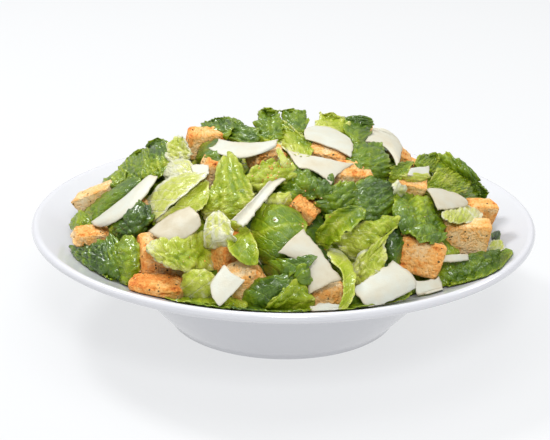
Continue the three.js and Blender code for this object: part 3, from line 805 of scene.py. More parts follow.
class Bench:
    """Adds and links the nodes of one material."""

    def __init__(self, name: str) -> None:
        """Makes the material with its output node only."""
        self.material = bpy.data.materials.new(name)
        self.material.use_nodes = True
        self.tree = self.material.node_tree
        self.tree.nodes.clear()
        self.output = self.tree.nodes.new("ShaderNodeOutputMaterial")

    def node(self, kind: str, inputs: dict | None = None, **settings: str) -> bpy.types.Node:
        """Adds a node.

        Args:
            kind: its type, without the word ShaderNode.
            inputs: values, or sockets to link, by input name or number.
            settings: the node's own settings.

        Returns:
            The node.
        """
        made = self.tree.nodes.new("ShaderNode" + kind)
        for key, value in settings.items():
            setattr(made, key, value)
        for key, value in (inputs or {}).items():
            if isinstance(value, Socket):
                self.tree.links.new(value, made.inputs[key])
            else:
                made.inputs[key].default_value = value
        return made

    def paint(self) -> list[Socket]:
        """The three painted values of a place."""
        painted = self.node("Attribute", attribute_name="paint").outputs["Color"]
        return list(self.node("SeparateColor", {0: painted}).outputs)

    def place(self) -> Socket:
        """The place on the object, in metres."""
        return self.node("TexCoord").outputs["Object"]

    def math(self, operation: str, *values: Socket | float) -> Socket:
        """Adds a math node and returns its result."""
        return self.node("Math", dict(enumerate(values)), operation=operation).outputs[0]

    def swing(self, noise: Socket, share: float, value: Socket) -> Socket:
        """Adds a share of a noise, counted from its middle 0.5, to a value."""
        return self.math("MULTIPLY_ADD", self.math("SUBTRACT", noise, 0.5), share, value)

    def ramp(self, value: Socket, stops: tuple[tuple[float, tuple], ...]) -> Socket:
        """Adds a colour ramp.

        Args:
            value: what it reads.
            stops: positions with sRGB colours in 0..255.

        Returns:
            The colour.
        """
        made = self.node("ValToRGB", {0: value})
        elements = made.color_ramp.elements
        while len(elements) < len(stops):
            elements.new(0.5)
        for element, (position, colour) in zip(elements, stops):
            element.position = position
            element.color = (*linear(colour), 1.0)
        return made.outputs[0]

    def smooth(self, value: Socket, low: float, high: float) -> Socket:
        """Maps low..high to 0..1 with soft ends."""
        inputs = {0: value, 1: low, 2: high, 3: 0.0, 4: 1.0}
        return self.node("MapRange", inputs, interpolation_type="SMOOTHSTEP").outputs[0]

    def noise(self, vector: Socket, scale: float, detail: float = 2.0) -> Socket:
        """Adds a noise texture and returns its value."""
        return self.node("TexNoise", {"Vector": vector, "Scale": scale, "Detail": detail}).outputs[0]

    def mix(self, share: Socket, first: tuple, second: tuple) -> Socket:
        """Mixes two sRGB colours in 0..255 and returns the mixed one."""
        inputs = {0: share, 6: (*linear(first), 1.0), 7: (*linear(second), 1.0)}
        return self.node("Mix", inputs, data_type="RGBA").outputs[2]

    def bump(self, height: Socket, strength: float, depth: float) -> Socket:
        """Turns a height into a normal; its depth is in metres."""
        return self.node("Bump", {"Height": height, "Strength": strength, "Distance": depth}).outputs[0]

    def body(self, colour: Socket | tuple, roughness: float, others: dict) -> Socket:
        """Adds the surface itself, with its other inputs by name, and returns the shader."""
        inputs = {"Base Color": colour, "Roughness": roughness, **others}
        return self.node("BsdfPrincipled", inputs).outputs[0]

    def lit_through(self, body: Socket, share: float, inputs: dict) -> Socket:
        """Lets a share of the light pass through a surface."""
        glow = self.node("BsdfTranslucent", inputs).outputs[0]
        return self.node("MixShader", {0: share, 1: body, 2: glow}).outputs[0]

    def finish(self, shader: Socket) -> Material:
        """Links the surface and returns the material."""
        self.tree.links.new(shader, self.output.inputs["Surface"])
        return self.material


def linear(colour: tuple) -> tuple[float, float, float]:
    """Turns an sRGB colour in 0..255 into linear light."""
    share = np.array(colour, float) / 255
    light = np.where(share <= 0.04045, share / 12.92, ((share + 0.055) / 1.055) ** 2.4)
    return tuple(light.tolist())


@dataclass(frozen=True)
class LeafFinish:
    """Romaine: green blades with pale ribs and veins, shining with dressing.

    Lengths are centimetres on the blade, and a scale counts swings for each of them. The shares say
    how much each mark adds to the tone, the heights how high it stands, and relief gives the strength
    of the heights and their depth in metres.
    """

    roughness: float = 0.3
    specular: float = 0.45
    dark_coat: float = 0.7
    pale_coat: float = 0.25
    coat_tones: Pair = (0.2, 0.6)
    coat_roughness: float = 0.1
    passing_light: float = 0.3
    vein_spacing: float = 0.8
    vein_slant: float = 0.9
    wander_scale: float = 0.9
    wander: float = 0.7
    vein_crest: float = 0.86
    net_scale: float = 3.6
    net_width: float = 0.09
    mottle_scale: float = 2.4
    grain_scale: float = 9.0
    rib_share: float = 0.4
    vein_share: float = 0.1
    net_share: float = 0.08
    pale_and_lit_edge_share: float = 0.17
    mottle_share: float = 0.3
    vein_height: float = -0.6
    net_height: float = -0.4
    grain_height: float = 0.5
    relief: Pair = (0.8, 0.0006)
    stops: tuple = (
        (0.0, (35, 56, 11)),
        (0.15, (64, 95, 30)),
        (0.3, (98, 132, 36)),
        (0.45, (132, 161, 20)),
        (0.6, (170, 189, 36)),
        (0.75, (204, 213, 80)),
        (0.88, (226, 229, 136)),
        (1.0, (240, 240, 212)),
    )

    def build(self, name: str) -> Material:
        """Makes the material: tone, ribs, side veins and a fine net pick a place on one green ramp.

        Args:
            name: the material's name.

        Returns:
            The material.
        """
        bench = Bench(name)
        tone, rib, edge = bench.paint()
        blade = bench.node("UVMap", uv_map="blade").outputs[0]
        vein, net = self._veins(bench, blade), self._net(bench, blade)
        value = bench.math("MULTIPLY_ADD", rib, self.rib_share, tone)
        value = bench.math("MULTIPLY_ADD", vein, self.vein_share, value)
        value = bench.math("MULTIPLY_ADD", net, self.net_share, value)
        # the margins are painted paler: partly a thin pale margin, partly a painted highlight along the
        # rims
        value = bench.math("MULTIPLY_ADD", edge, self.pale_and_lit_edge_share, value)
        value = bench.swing(bench.noise(blade, self.mottle_scale, 3.0), self.mottle_share, value)
        colour = bench.ramp(value, self.stops)
        low_veins = bench.math("MULTIPLY", vein, self.vein_height)
        height = bench.math("ADD", low_veins, bench.math("MULTIPLY", net, self.net_height))
        grain = bench.noise(blade, self.grain_scale)
        normal = bench.bump(bench.math("MULTIPLY_ADD", grain, self.grain_height, height), *self.relief)
        low, high = self.coat_tones
        coats = {0: tone, 1: low, 2: high, 3: self.dark_coat, 4: self.pale_coat}
        others = {
            "Coat Weight": bench.node("MapRange", coats).outputs[0],
            "Coat Roughness": self.coat_roughness,
            "Specular IOR Level": self.specular,
            "Normal": normal,
        }
        body = bench.body(colour, self.roughness, others)
        lit = bench.lit_through(body, self.passing_light, {"Color": colour, "Normal": normal})
        return bench.finish(lit)

    def _veins(self, bench: Bench, blade: Socket) -> Socket:
        """Side veins: crests of cos(2 pi run / spacing), the run being y - slant |x| + wander noise.

        Args:
            bench: the material's bench.
            blade: places on the blade.

        Returns:
            1 on a vein and 0 off it.
        """
        across, along, _ = bench.node("SeparateXYZ", {0: blade}).outputs
        slant = bench.math("MULTIPLY", bench.math("ABSOLUTE", across), self.vein_slant)
        wander = bench.math("MULTIPLY", bench.noise(blade, self.wander_scale, 1.0), self.wander)
        run = bench.math("ADD", bench.math("SUBTRACT", along, slant), wander)
        wave = bench.math("COSINE", bench.math("MULTIPLY", run, 2 * math.pi / self.vein_spacing))
        return bench.smooth(wave, self.vein_crest, 1.0)

    def _net(self, bench: Bench, blade: Socket) -> Socket:
        """The fine net between the veins: the borders of scattered cells, 1 on a border."""
        inputs = {"Vector": blade, "Scale": self.net_scale}
        cells = bench.node("TexVoronoi", inputs, feature="DISTANCE_TO_EDGE").outputs[0]
        return bench.smooth(cells, self.net_width, 0.0)


@dataclass(frozen=True)
class CroutonFinish:
    """Toasted bread: cream crumb, golden faces, brown edges, and pits painted darker as painted shade.

    A scale counts swings for each metre, and a share says how much it adds to the toast.
    """

    roughness: float = 0.72
    specular: float = 0.3
    grain_scale: float = 850.0
    grain_share: float = 0.62
    blotch_scale: float = 330.0
    blotch_share: float = 0.25
    speck_scale: float = 1500.0
    speck_crest: Pair = (0.66, 0.78)
    speck_share: float = 0.16
    pit_shade_share: float = 0.2
    relief: Pair = (1.0, 0.0022)
    stops: tuple = (
        (0.0, (255, 234, 198)),
        (0.25, (254, 215, 158)),
        (0.5, (251, 185, 102)),
        (0.7, (238, 147, 64)),
        (0.86, (202, 106, 44)),
        (1.0, (128, 60, 24)),
    )

    def build(self) -> Material:
        """Makes the material from the painted toast and pits."""
        bench = Bench("toasted_bread")
        toast, pit, _ = bench.paint()
        place = bench.place()
        grain = bench.noise(place, self.grain_scale, 4.0)
        value = bench.swing(grain, self.grain_share, toast)
        value = bench.swing(bench.noise(place, self.blotch_scale), self.blotch_share, value)
        # painted shade: the pits are darkened towards brown
        value = bench.math("MULTIPLY_ADD", pit, self.pit_shade_share, value)
        speck = bench.smooth(bench.noise(place, self.speck_scale), *self.speck_crest)
        value = bench.math("MULTIPLY_ADD", speck, self.speck_share, value)
        others = {"Specular IOR Level": self.specular, "Normal": bench.bump(grain, *self.relief)}
        return bench.finish(bench.body(bench.ramp(value, self.stops), self.roughness, others))


@dataclass(frozen=True)
class CheeseFinish:
    """Parmesan: pale cream, waxy, a little light passing through."""

    roughness: float = 0.5
    passing_light: float = 0.12
    mottle_scale: float = 160.0
    mottle_share: float = 0.9
    grain_scale: float = 1100.0
    relief: Pair = (0.35, 0.0004)
    stops: tuple = ((0.0, (209, 211, 198)), (0.5, (208, 201, 178)), (1.0, (190, 175, 140)))

    def build(self) -> Material:
        """Makes the material, with faint grains and drier yellow rims."""
        bench = Bench("parmesan")
        place = bench.place()
        mottle = bench.noise(place, self.mottle_scale, 3.0)
        colour = bench.ramp(bench.swing(mottle, self.mottle_share, bench.paint()[0]), self.stops)
        normal = bench.bump(bench.noise(place, self.grain_scale), *self.relief)
        body = bench.body(colour, self.roughness, {"Normal": normal})
        return bench.finish(bench.lit_through(body, self.passing_light, {"Color": colour}))


@dataclass(frozen=True)
class GlazeFinish:
    """White glazed ceramic."""

    colour: tuple = (208, 209, 214)
    warmth: tuple = (1.0, 0.998, 0.994)
    roughness: float = 0.22
    coat: float = 0.5
    coat_roughness: float = 0.06
    uneven_scale: float = 28.0
    relief: Pair = (0.05, 0.001)

    def build(self) -> Material:
        """Makes the material, with the slightest unevenness of the glaze."""
        bench = Bench("white_glaze")
        uneven = bench.noise(bench.place(), self.uneven_scale, 1.0)
        warm = tuple(c * f for c, f in zip(self.colour, self.warmth))
        others = {
            "Coat Weight": self.coat,
            "Coat Roughness": self.coat_roughness,
            "Normal": bench.bump(uneven, *self.relief),
        }
        return bench.finish(bench.body(bench.mix(uneven, self.colour, warm), self.roughness, others))


@dataclass(frozen=True)
class FleckFinish:
    """Dried herbs and pepper."""

    roughness: float = 0.7
    stops: tuple = ((0.0, (52, 62, 26)), (0.5, (96, 74, 34)), (1.0, (40, 26, 16)))

    def build(self) -> Material:
        """Makes the material, from dark green to brown by the painted value."""
        bench = Bench("dried_herbs")
        colour = bench.ramp(bench.paint()[0], self.stops)
        return bench.finish(bench.body(colour, self.roughness, {}))


# ---- The plate and the heap's inside ----


@dataclass(frozen=True)
class Plate:
    """The pasta plate, turned finely from its section."""

    form: PlateForm = PlateForm()
    finish: GlazeFinish = GlazeFinish()

    def build(self) -> Piece:
        """Makes the plate over its solid."""
        outline = np.concatenate([self.form.underside()[:-1], self.form.lip(), self.form.top()[1:]])
        places, faces = lathe(outline, self.form.segments)
        batch = MeshBatch()
        batch.add(places, faces, np.zeros_like(places))
        return dress(batch.build("glazed_plate", self.finish.build()), "plate", "plate")


@dataclass(frozen=True)
class HeapCore:
    """The heap's inside, a lumpy mass of leaf below every shown piece: painted the darkest green as
    painted shade in the gaps, and painted lighter near the rim so the shaded band there reads green.
    """

    heap: HeapForm = HeapForm()
    depth: float = 17.0
    reach: float = 110.0
    lump: float = 2.6
    lump_cell: float = 11.0
    seat_step: Pair = (0.5, 8.0)
    room: float = 0.8
    tone: float = 0.02
    tone_swing: float = 0.08
    tone_cell: float = 9.0
    rim_tone: float = 0.36
    rim_from: Pair = (80.0, 100.0)
    segments: int = 120

    def section(self) -> Array:
        """Goes from the pole on the plate's floor out and back over the top.

        Returns:
            Radius and height of each point.
        """
        low = np.linspace(0.0, self.reach, 30)
        seat = np.stack([low, self.heap.plate.top_at(low) + self.room], axis=1)
        high = np.linspace(self.reach - 1.0, 0.0, 46)
        roof = np.stack([high, self.heap.shown_at(high) - self.depth], axis=1)
        return np.concatenate([seat, roof])

    def build(self, material: Material) -> Piece:
        """Makes the core; only its roof is lumpy, so the seat keeps its room to the plate.

        Args:
            material: the leaves' finish.

        Returns:
            The piece.
        """
        places, faces = lathe(self.section(), self.segments)
        radius = np.hypot(places[:, 0], places[:, 1])
        floor = self.heap.plate.top_at(radius) + self.room
        share = smoothstep(*self.seat_step, places[:, 2] - floor)
        places[:, 2] += self.lump * share * layered_noise(places * (1, 1, 0), self.lump_cell, 5)
        places[:, 2] = np.maximum(places[:, 2], floor)
        # painted shade: the core's tone is the darkest green, so the gaps between the leaves read as deep
        # shade
        tone = self.tone + self.tone_swing * layered_noise(places, self.tone_cell, 3)
        # painted light: the tone rises near the rim, so the shaded band by the rim reads green, not black
        tone = tone + self.rim_tone * smoothstep(*self.rim_from, radius)
        paint = np.zeros_like(places)
        paint[:, 0] = np.clip(tone, 0, 1)
        batch = MeshBatch()
        batch.add(places, faces, paint, places[:, :2] / 10)
        return dress(batch.build("romaine_inside_painted_shade", material), "romaine", "romaine_heap")


def dress(piece: Piece, slot: str, *nodes: str) -> Piece:
    """Joins a piece to the object.

    Args:
        piece: the built piece.
        slot: the slot of its material; not used.
        nodes: the solids that it stands for, if any.

    Returns:
        The piece.
    """
    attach(piece, "root")
    if nodes:
        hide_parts(*nodes)
    return piece


def numbered(word: str, count: int) -> list[str]:
    """The names of that many solids of one kind."""
    return [f"{word}_{i + 1:02d}" for i in range(count)]


# ---- Romaine ----


class LeafKind(Enum):
    """The four kinds of romaine piece, with the top of each one's range of tones."""

    DARK = 0.29
    GREEN = 0.44
    LIGHT = 0.67
    HEART = 2.0

    @classmethod
    def of(cls, tone: float) -> LeafKind:
        """The kind that a tone belongs to."""
        return next(kind for kind in cls if tone < kind.value)

    @property
    def piece(self) -> str:
        """The name of the kind's piece."""
        return f"romaine_{self.name.lower()}"


class Blade:
    """A laid leaf that is given its relief: its places on the flat blade and its random numbers."""

    def __init__(self, grid: Grid, leaf: Leaf, seed: int) -> None:
        """Takes the grid, the leaf's row and the seed of its noise."""
        self.grid, self.leaf, self.seed = grid, leaf, seed
        self.flat = grid.flat(seed * 53.0)
        self.chance = np.random.default_rng(seed)

    def noise(self, cell: float, layer: int) -> Array:
        """Smooth noise on the flat blade, another for each layer."""
        return lattice_noise(self.flat, cell, self.seed + layer)


@dataclass(frozen=True)
class LeafRelief:
    """The relief of a romaine blade.

    Lengths are in millimetres, and a cell is the size of a noise. A swing is how far noise or chance
    moves a value, a span where a thing sets in and where it is full, and a fading what the tip loses.
    """

    thickness: float = 0.6
    edge_thinning: float = 0.55
    rib_thickness: float = 1.1
    rib_height: float = 1.3
    rib_width: float = 1.9
    rib_bend: float = 0.1
    rib_turn: float = 2.2
    rib_aside: float = 0.12
    rib_taper: Pair = (1.25, 0.5)
    rib_fading: float = 0.75
    rib_inward: float = 0.4
    bend_swing: Pair = (0.2, 1.0)
    width_swing: Pair = (0.7, 1.2)
    streak_spacing: float = 5.5
    streak_height: float = 0.5
    streak_cells: Pair = (12.0, 9.0)
    streak_stretch: float = 0.3
    streak_wander: float = 4.5
    streak_swing: float = 1.2
    streak_most: float = 1.1
    streak_fading: float = 0.6
    fan_spread: float = 0.35
    fan_slant: float = 0.25
    vein_spacing: float = 7.0
    vein_slant: float = 0.9
    vein_cells: Pair = (14.0, 10.0)
    vein_wander: float = 0.35
    blister: float = 0.6
    blister_swing: Pair = (0.65, 0.5)
    coarse: float = 1.1
    coarse_crease: float = 0.55
    coarse_cells: Pair = (9.0, 5.2)
    fine: float = 0.6
    fine_crease: float = 0.4
    fine_cells: Pair = (2.8, 1.7)
    frill_length: float = 14.0
    frill_share: float = 0.55
    frill_cells: Pair = (13.0, 15.0)
    frill_side_span: Pair = (0.4, 1.05)
    frill_tip_span: Pair = (0.45, 1.05)
    frill_side_phase: float = 1.7
    frill_tip_length: float = 0.9
    frill_wander: float = 3.4
    frill_swing: Pair = (0.55, 0.9)
    frill_most: float = 1.2
    curl: float = 0.4
    curl_rate: float = 4.6
    tone_cell: float = 16.0
    tone_swing: float = 0.14
    base_tone: float = 0.1
    crest_light_crease_shade: float = 0.06
    height_span: float = 1.5

    def apply(self, blade: Blade) -> tuple[Array, Array, Array]:
        """Adds the relief to a blade: its rib, streaks, blisters and ruffle, along the normals.

        Args:
            blade: the laid leaf.

        Returns:
            The places, the thickness and the paint (tone, rib, edge).
        """
        grid, leaf = blade.grid, blade.leaf
        from_rib, rib = self._rib(blade)
        streaks = self._streaks(blade)
        fading = 1 - self.streak_fading * smoothstep(0.1, 1, grid.b)
        pale = np.maximum(rib * leaf.rib, streaks * leaf.streak * fading)
        side = 1.0 if blade.chance.uniform() > self.rib_inward else -1.0
        relief = leaf.crinkle * self._blisters(blade, from_rib, rib)
        relief += self.rib_height * side * rib * leaf.rib + self.streak_height * streaks * leaf.streak
        relief += self._ruffle(blade)
        places = grid.middle + grid_normals(grid.middle) * relief[..., None]
        edge = smoothstep(0.7, 1.0, grid.outness)
        thickness = self.thickness * (1 - self.edge_thinning * edge) + self.rib_thickness * pale
        tone = leaf.tone + self.tone_swing * blade.noise(self.tone_cell, 60)
        tone = tone + self.base_tone * (0.5 - (grid.b + 1) / 2)
        # painted shade and light: the creases of the relief are painted darker and the crests lighter
        tone = tone + self.crest_light_crease_shade * np.clip(relief / self.height_span, -1, 1)
        paint = np.stack([np.clip(tone, 0, 1), pale, edge], axis=-1)
        return places, thickness, paint

    def _rib(self, blade: Blade) -> tuple[Array, Array]:
        """The middle rib, exp(-(distance / width)^2), on a bent line and fading to the tip.

        Args:
            blade: the laid leaf.

        Returns:
            Millimetres from the rib's middle, and how strong it is.
        """
        grid, chance = blade.grid, blade.chance
        turn = grid.along / max(grid.length, 1) * self.rib_turn
        bend = self.rib_bend * grid.width * np.sin(turn + chance.uniform(0, 6))
        from_rib = grid.across - bend * chance.uniform(*self.bend_swing)
        from_rib = from_rib - chance.uniform(-self.rib_aside, self.rib_aside) * grid.width
        width = self.rib_width * (self.rib_taper[0] - self.rib_taper[1] * (grid.b + 1) / 2)
        rib = np.exp(-((from_rib / (width * chance.uniform(*self.width_swing))) ** 2))
        return from_rib, rib * (1 - self.rib_fading * smoothstep(0.2, 1.0, grid.b))

    def _streaks(self, blade: Blade) -> Array:
        """Lengthwise ribs that fan out: the crests of cos(2 pi fan / spacing + noise).

        Args:
            blade: the laid leaf.

        Returns:
            How strong they are, also by noise.
        """
        grid = blade.grid
        fan = grid.across * (1 + self.fan_spread * (grid.b + 1) / 2) + self.fan_slant * grid.along
        drawn_out = blade.flat * (1, self.streak_stretch, 1)
        wander = lattice_noise(drawn_out, self.streak_cells[0], blade.seed + 5)
        wave = np.cos(2 * np.pi * fan / self.streak_spacing + self.streak_wander * wander)
        strength = 0.5 + self.streak_swing * blade.noise(self.streak_cells[1], 6)
        return smoothstep(0.2, 1.0, wave) * np.clip(strength, 0, self.streak_most)

    def _blisters(self, blade: Blade, from_rib: Array, rib: Array) -> Array:
        """Swellings between the side veins, and noise with creases at three sizes.

        A swelling is (1 - cos 2 pi t) / 2, where t counts vein spacings along a slanted line.

        Args:
            blade: the laid leaf.
            from_rib: millimetres from the rib's middle.
            rib: how strong the rib is.

        Returns:
            Heights in millimetres.
        """
        slanted = blade.grid.along - self.vein_slant * np.abs(from_rib)
        t = slanted / self.vein_spacing + self.vein_wander * blade.noise(self.vein_cells[0], 3)
        middle, swing = self.blister_swing
        swell = (0.5 - 0.5 * np.cos(2 * np.pi * t)) * (1 - rib)
        swell = swell * (middle + swing * blade.noise(self.vein_cells[1], 9))
        return (
            self.blister * swell
            + self.coarse * blade.noise(self.coarse_cells[0], 21)
            + self.coarse_crease * self.coarse * ridged(blade.flat, self.coarse_cells[1], blade.seed + 33)
            + self.fine * ridged(blade.flat, self.fine_cells[0], blade.seed + 45)
            + self.fine_crease * self.fine * ridged(blade.flat, self.fine_cells[1], blade.seed + 71)
        )

    def _ruffle(self, blade: Blade) -> Array:
        """Waves of the free margins, which grow with the square of the way out.

        A wave is sin(2 pi s + p) + curl sin(curl_rate pi s + 2q), where s counts frill lengths along the
        margin and the phases p and q wander with noise.

        Args:
            blade: the laid leaf.

        Returns:
            Heights in millimetres.
        """
        grid = blade.grid
        across, along, length = grid.across, grid.along, self.frill_length
        margin_a = smoothstep(*self.frill_side_span, np.abs(grid.a))
        margin_b = smoothstep(*self.frill_tip_span, grid.b)
        wander = self.frill_wander * blade.noise(self.frill_cells[0], 51)
        phase = blade.chance.uniform(0, 6.3, 3) + wander[..., None]
        middle, swing = self.frill_swing
        strength = np.clip(middle + swing * blade.noise(self.frill_cells[1], 57), 0, self.frill_most)
        curl = 2 * phase[..., 2]
        side = (grid.a > 0) * self.frill_side_phase
        ruffle_a = np.sin(2 * np.pi * along / length + phase[..., 0] + side)
        ruffle_b = np.sin(2 * np.pi * across / (length * self.frill_tip_length) + phase[..., 1])
        ruffle_a = ruffle_a + self.curl * np.sin(self.curl_rate * np.pi * along / length + curl)
        ruffle_b = ruffle_b + self.curl * np.sin(self.curl_rate * np.pi * across / length + curl)
        ruffle = margin_a**2 * ruffle_a * (1 - margin_b) + margin_b**2 * ruffle_b
        return blade.leaf.frill * self.frill_share * strength * ruffle


@dataclass
class Romaine:
    """All the torn leaves: shown ones, those behind, those under them and the inside, painted dark as
    shade.
    """

    shown_layer: SheetLayer = SheetLayer()
    back_layer: SheetLayer = SheetLayer(pitch=1.25)
    under_layer: SheetLayer = SheetLayer(pitch=2.1, ragged=1.6, dip=2.0)
    shown_seed: int = 1
    back_seed: int = 101
    under_seed: int = 201
    spread_seed: int = 42
    relief: LeafRelief = LeafRelief()
    finish: LeafFinish = LeafFinish()
    under_count: int = 130
    under_reach: float = 113.0
    under_middle: float = 102
    under_depth: Pair = (-12, -5)
    under_sizes: tuple = ((30, 24, 0), (46, 34, 360))
    under_ribs: Pair = (0.05, 0.3)
    rim_start: float = 98
    rim_drop: float = 2
    under_tones: tuple = (0.14, 0.25, 0.4, 0.52, 0.72)
    under_shares: tuple = (0.26, 0.3, 0.2, 0.14, 0.1)
    room: float = 0.9
    most_drop: float = 16.0
    skyline: Skyline = Skyline()
    batches: dict[LeafKind, MeshBatch] = field(default_factory=dict)
    top: Array = field(default_factory=lambda: np.zeros(0))

    def build(self) -> list[Piece]:
        """Makes one piece for each kind of leaf, and the inside."""
        self.top = self.skyline.line()
        self.batches = {kind: MeshBatch() for kind in LeafKind}
        for seed, leaf in enumerate(FRONT_LEAVES, self.shown_seed):
            self._add(leaf, seed, self.shown_layer)
        for seed, leaf in enumerate(self.back_leaves(), self.back_seed):
            self._add(leaf, seed, self.back_layer)
        for seed, leaf in enumerate(self.under_leaves(), self.under_seed):
            self._add(leaf, seed, self.under_layer)
        material = self.finish.build("romaine_leaf")
        pieces = [HeapCore().build(material)]
        for kind, batch in self.batches.items():
            pieces.append(dress(batch.build(kind.piece, material), "romaine", "romaine_heap"))
        return pieces

    def back_leaves(self) -> list[Leaf]:
        """The rows of large leaves behind the crown; their sizes swing by sines of their numbers.

        Returns:
            One row for each leaf.
        """
        leaves = []
        for row, (count, radius, start, end, length, width, out) in enumerate(BACK_ROWS):
            for i in range(count):
                s = i + 7 * row
                azimuth = start + (end - start) * i / (count - 1) + 3 * math.sin(4.1 * s)
                size = 0.95 + 0.12 * math.sin(2.4 * s)
                middle, turn = radius + 3 * math.sin(5.3 * s), 34 * math.sin(1.7 * s)
                outline = laid_outline(azimuth, middle, length * size, width * size, turn)
                leaves.append(
                    Leaf(
                        "back leaf",
                        outline,
                        out=out + 1.5 * math.sin(3.1 * s),
                        cup=-5 + 1.5 * math.sin(1.3 * s),
                        arch=-2,
                        plan=True,
                        tone=0.34 + 0.2 * math.sin(2.9 * s + 1),
                        frill=2.8,
                        crinkle=1.2,
                        rib=0.2,
                    )
                )
        return leaves

    def under_leaves(self) -> list[Leaf]:
        """Smaller leaves under the shown ones, spread on a golden spiral.

        Leaf i lies at i golden angles and at reach sqrt((i + 1/2) / count), and no point passes the reach.
        A size is a length, a width and a turn, drawn between the two rows of under_sizes.

        Returns:
            One row for each leaf.
        """
        chance = np.random.default_rng(self.spread_seed)
        leaves = []
        for i in range(self.under_count):
            radius = self.under_reach * math.sqrt((i + 0.5) / self.under_count)
            depth = chance.uniform(*self.under_depth) - (self.rim_drop if radius > self.rim_start else 0)
            size = chance.uniform(*self.under_sizes)
            laid = laid_outline(i * GOLDEN_ANGLE, min(radius, self.under_middle), *size)
            points = np.array(laid).reshape(8, 2)
            reach = np.linalg.norm(points, axis=1, keepdims=True)
            outline = tuple((points * np.minimum(1, self.under_reach / reach)).ravel().tolist())
            tone = float(chance.choice(self.under_tones, p=self.under_shares))
            shape = {name: chance.uniform(*ends) for name, ends in UNDER_RANGES.items()}
            rib = float(chance.choice(self.under_ribs))
            leaves.append(Leaf("under leaf", outline, out=depth, plan=True, tone=tone, rib=rib, **shape))
        return leaves

    def _add(self, leaf: Leaf, seed: int, layer: SheetLayer) -> None:
        """Lays one leaf, gives it its relief and adds it to its kind's batch.

        Args:
            leaf: its row.
            seed: picks its noise.
            layer: what lays it.
        """
        grid = layer.lay(leaf, seed)
        places, thickness, paint = self.relief.apply(Blade(grid, leaf, seed))
        if leaf.plan:
            places[..., 2] -= min(self.skyline.drop(places, self.top), self.most_drop)
        places = layer.layout.heap.clear_of_plate(places, self.room)
        solid, faces = thin_solid(places, thickness)
        solid = layer.layout.heap.clear_of_plate(solid, self.room / 2)
        blade = np.stack([grid.across, grid.along], axis=-1).reshape(-1, 2) / 10 + seed * 1.7
        self.batches[LeafKind.of(leaf.tone)].add(
            solid, faces, np.tile(paint.reshape(-1, 3), (2, 1)), np.tile(blade, (2, 1))
        )


# ---- Croutons ----


@dataclass(frozen=True)
class Crouton:
    """A toasted cube of bread: its place, its size and its turns in degrees.

    The place is on the sight grid, or in plan in millimetres; sunk is how far its middle lies below
    the shown surface. Wear is how much its corners have gone, toast how brown it is.
    """

    at: Pair
    size: tuple[float, float, float]
    spin: float
    lean: float
    tip: float
    sunk: float
    plan: bool = False
    wear: float = 0.24
    toast: float = 0.4
    rough: float = 1.0

    def turn(self) -> Array:
        """The turn as a matrix: tip about Y, then lean about X, then spin about Z."""
        turns = zip((self.spin, self.lean, self.tip), "ZXY")
        spin, lean, tip = (Matrix.Rotation(math.radians(angle), 3, axis) for angle, axis in turns)
        return np.array(spin @ lean @ tip)


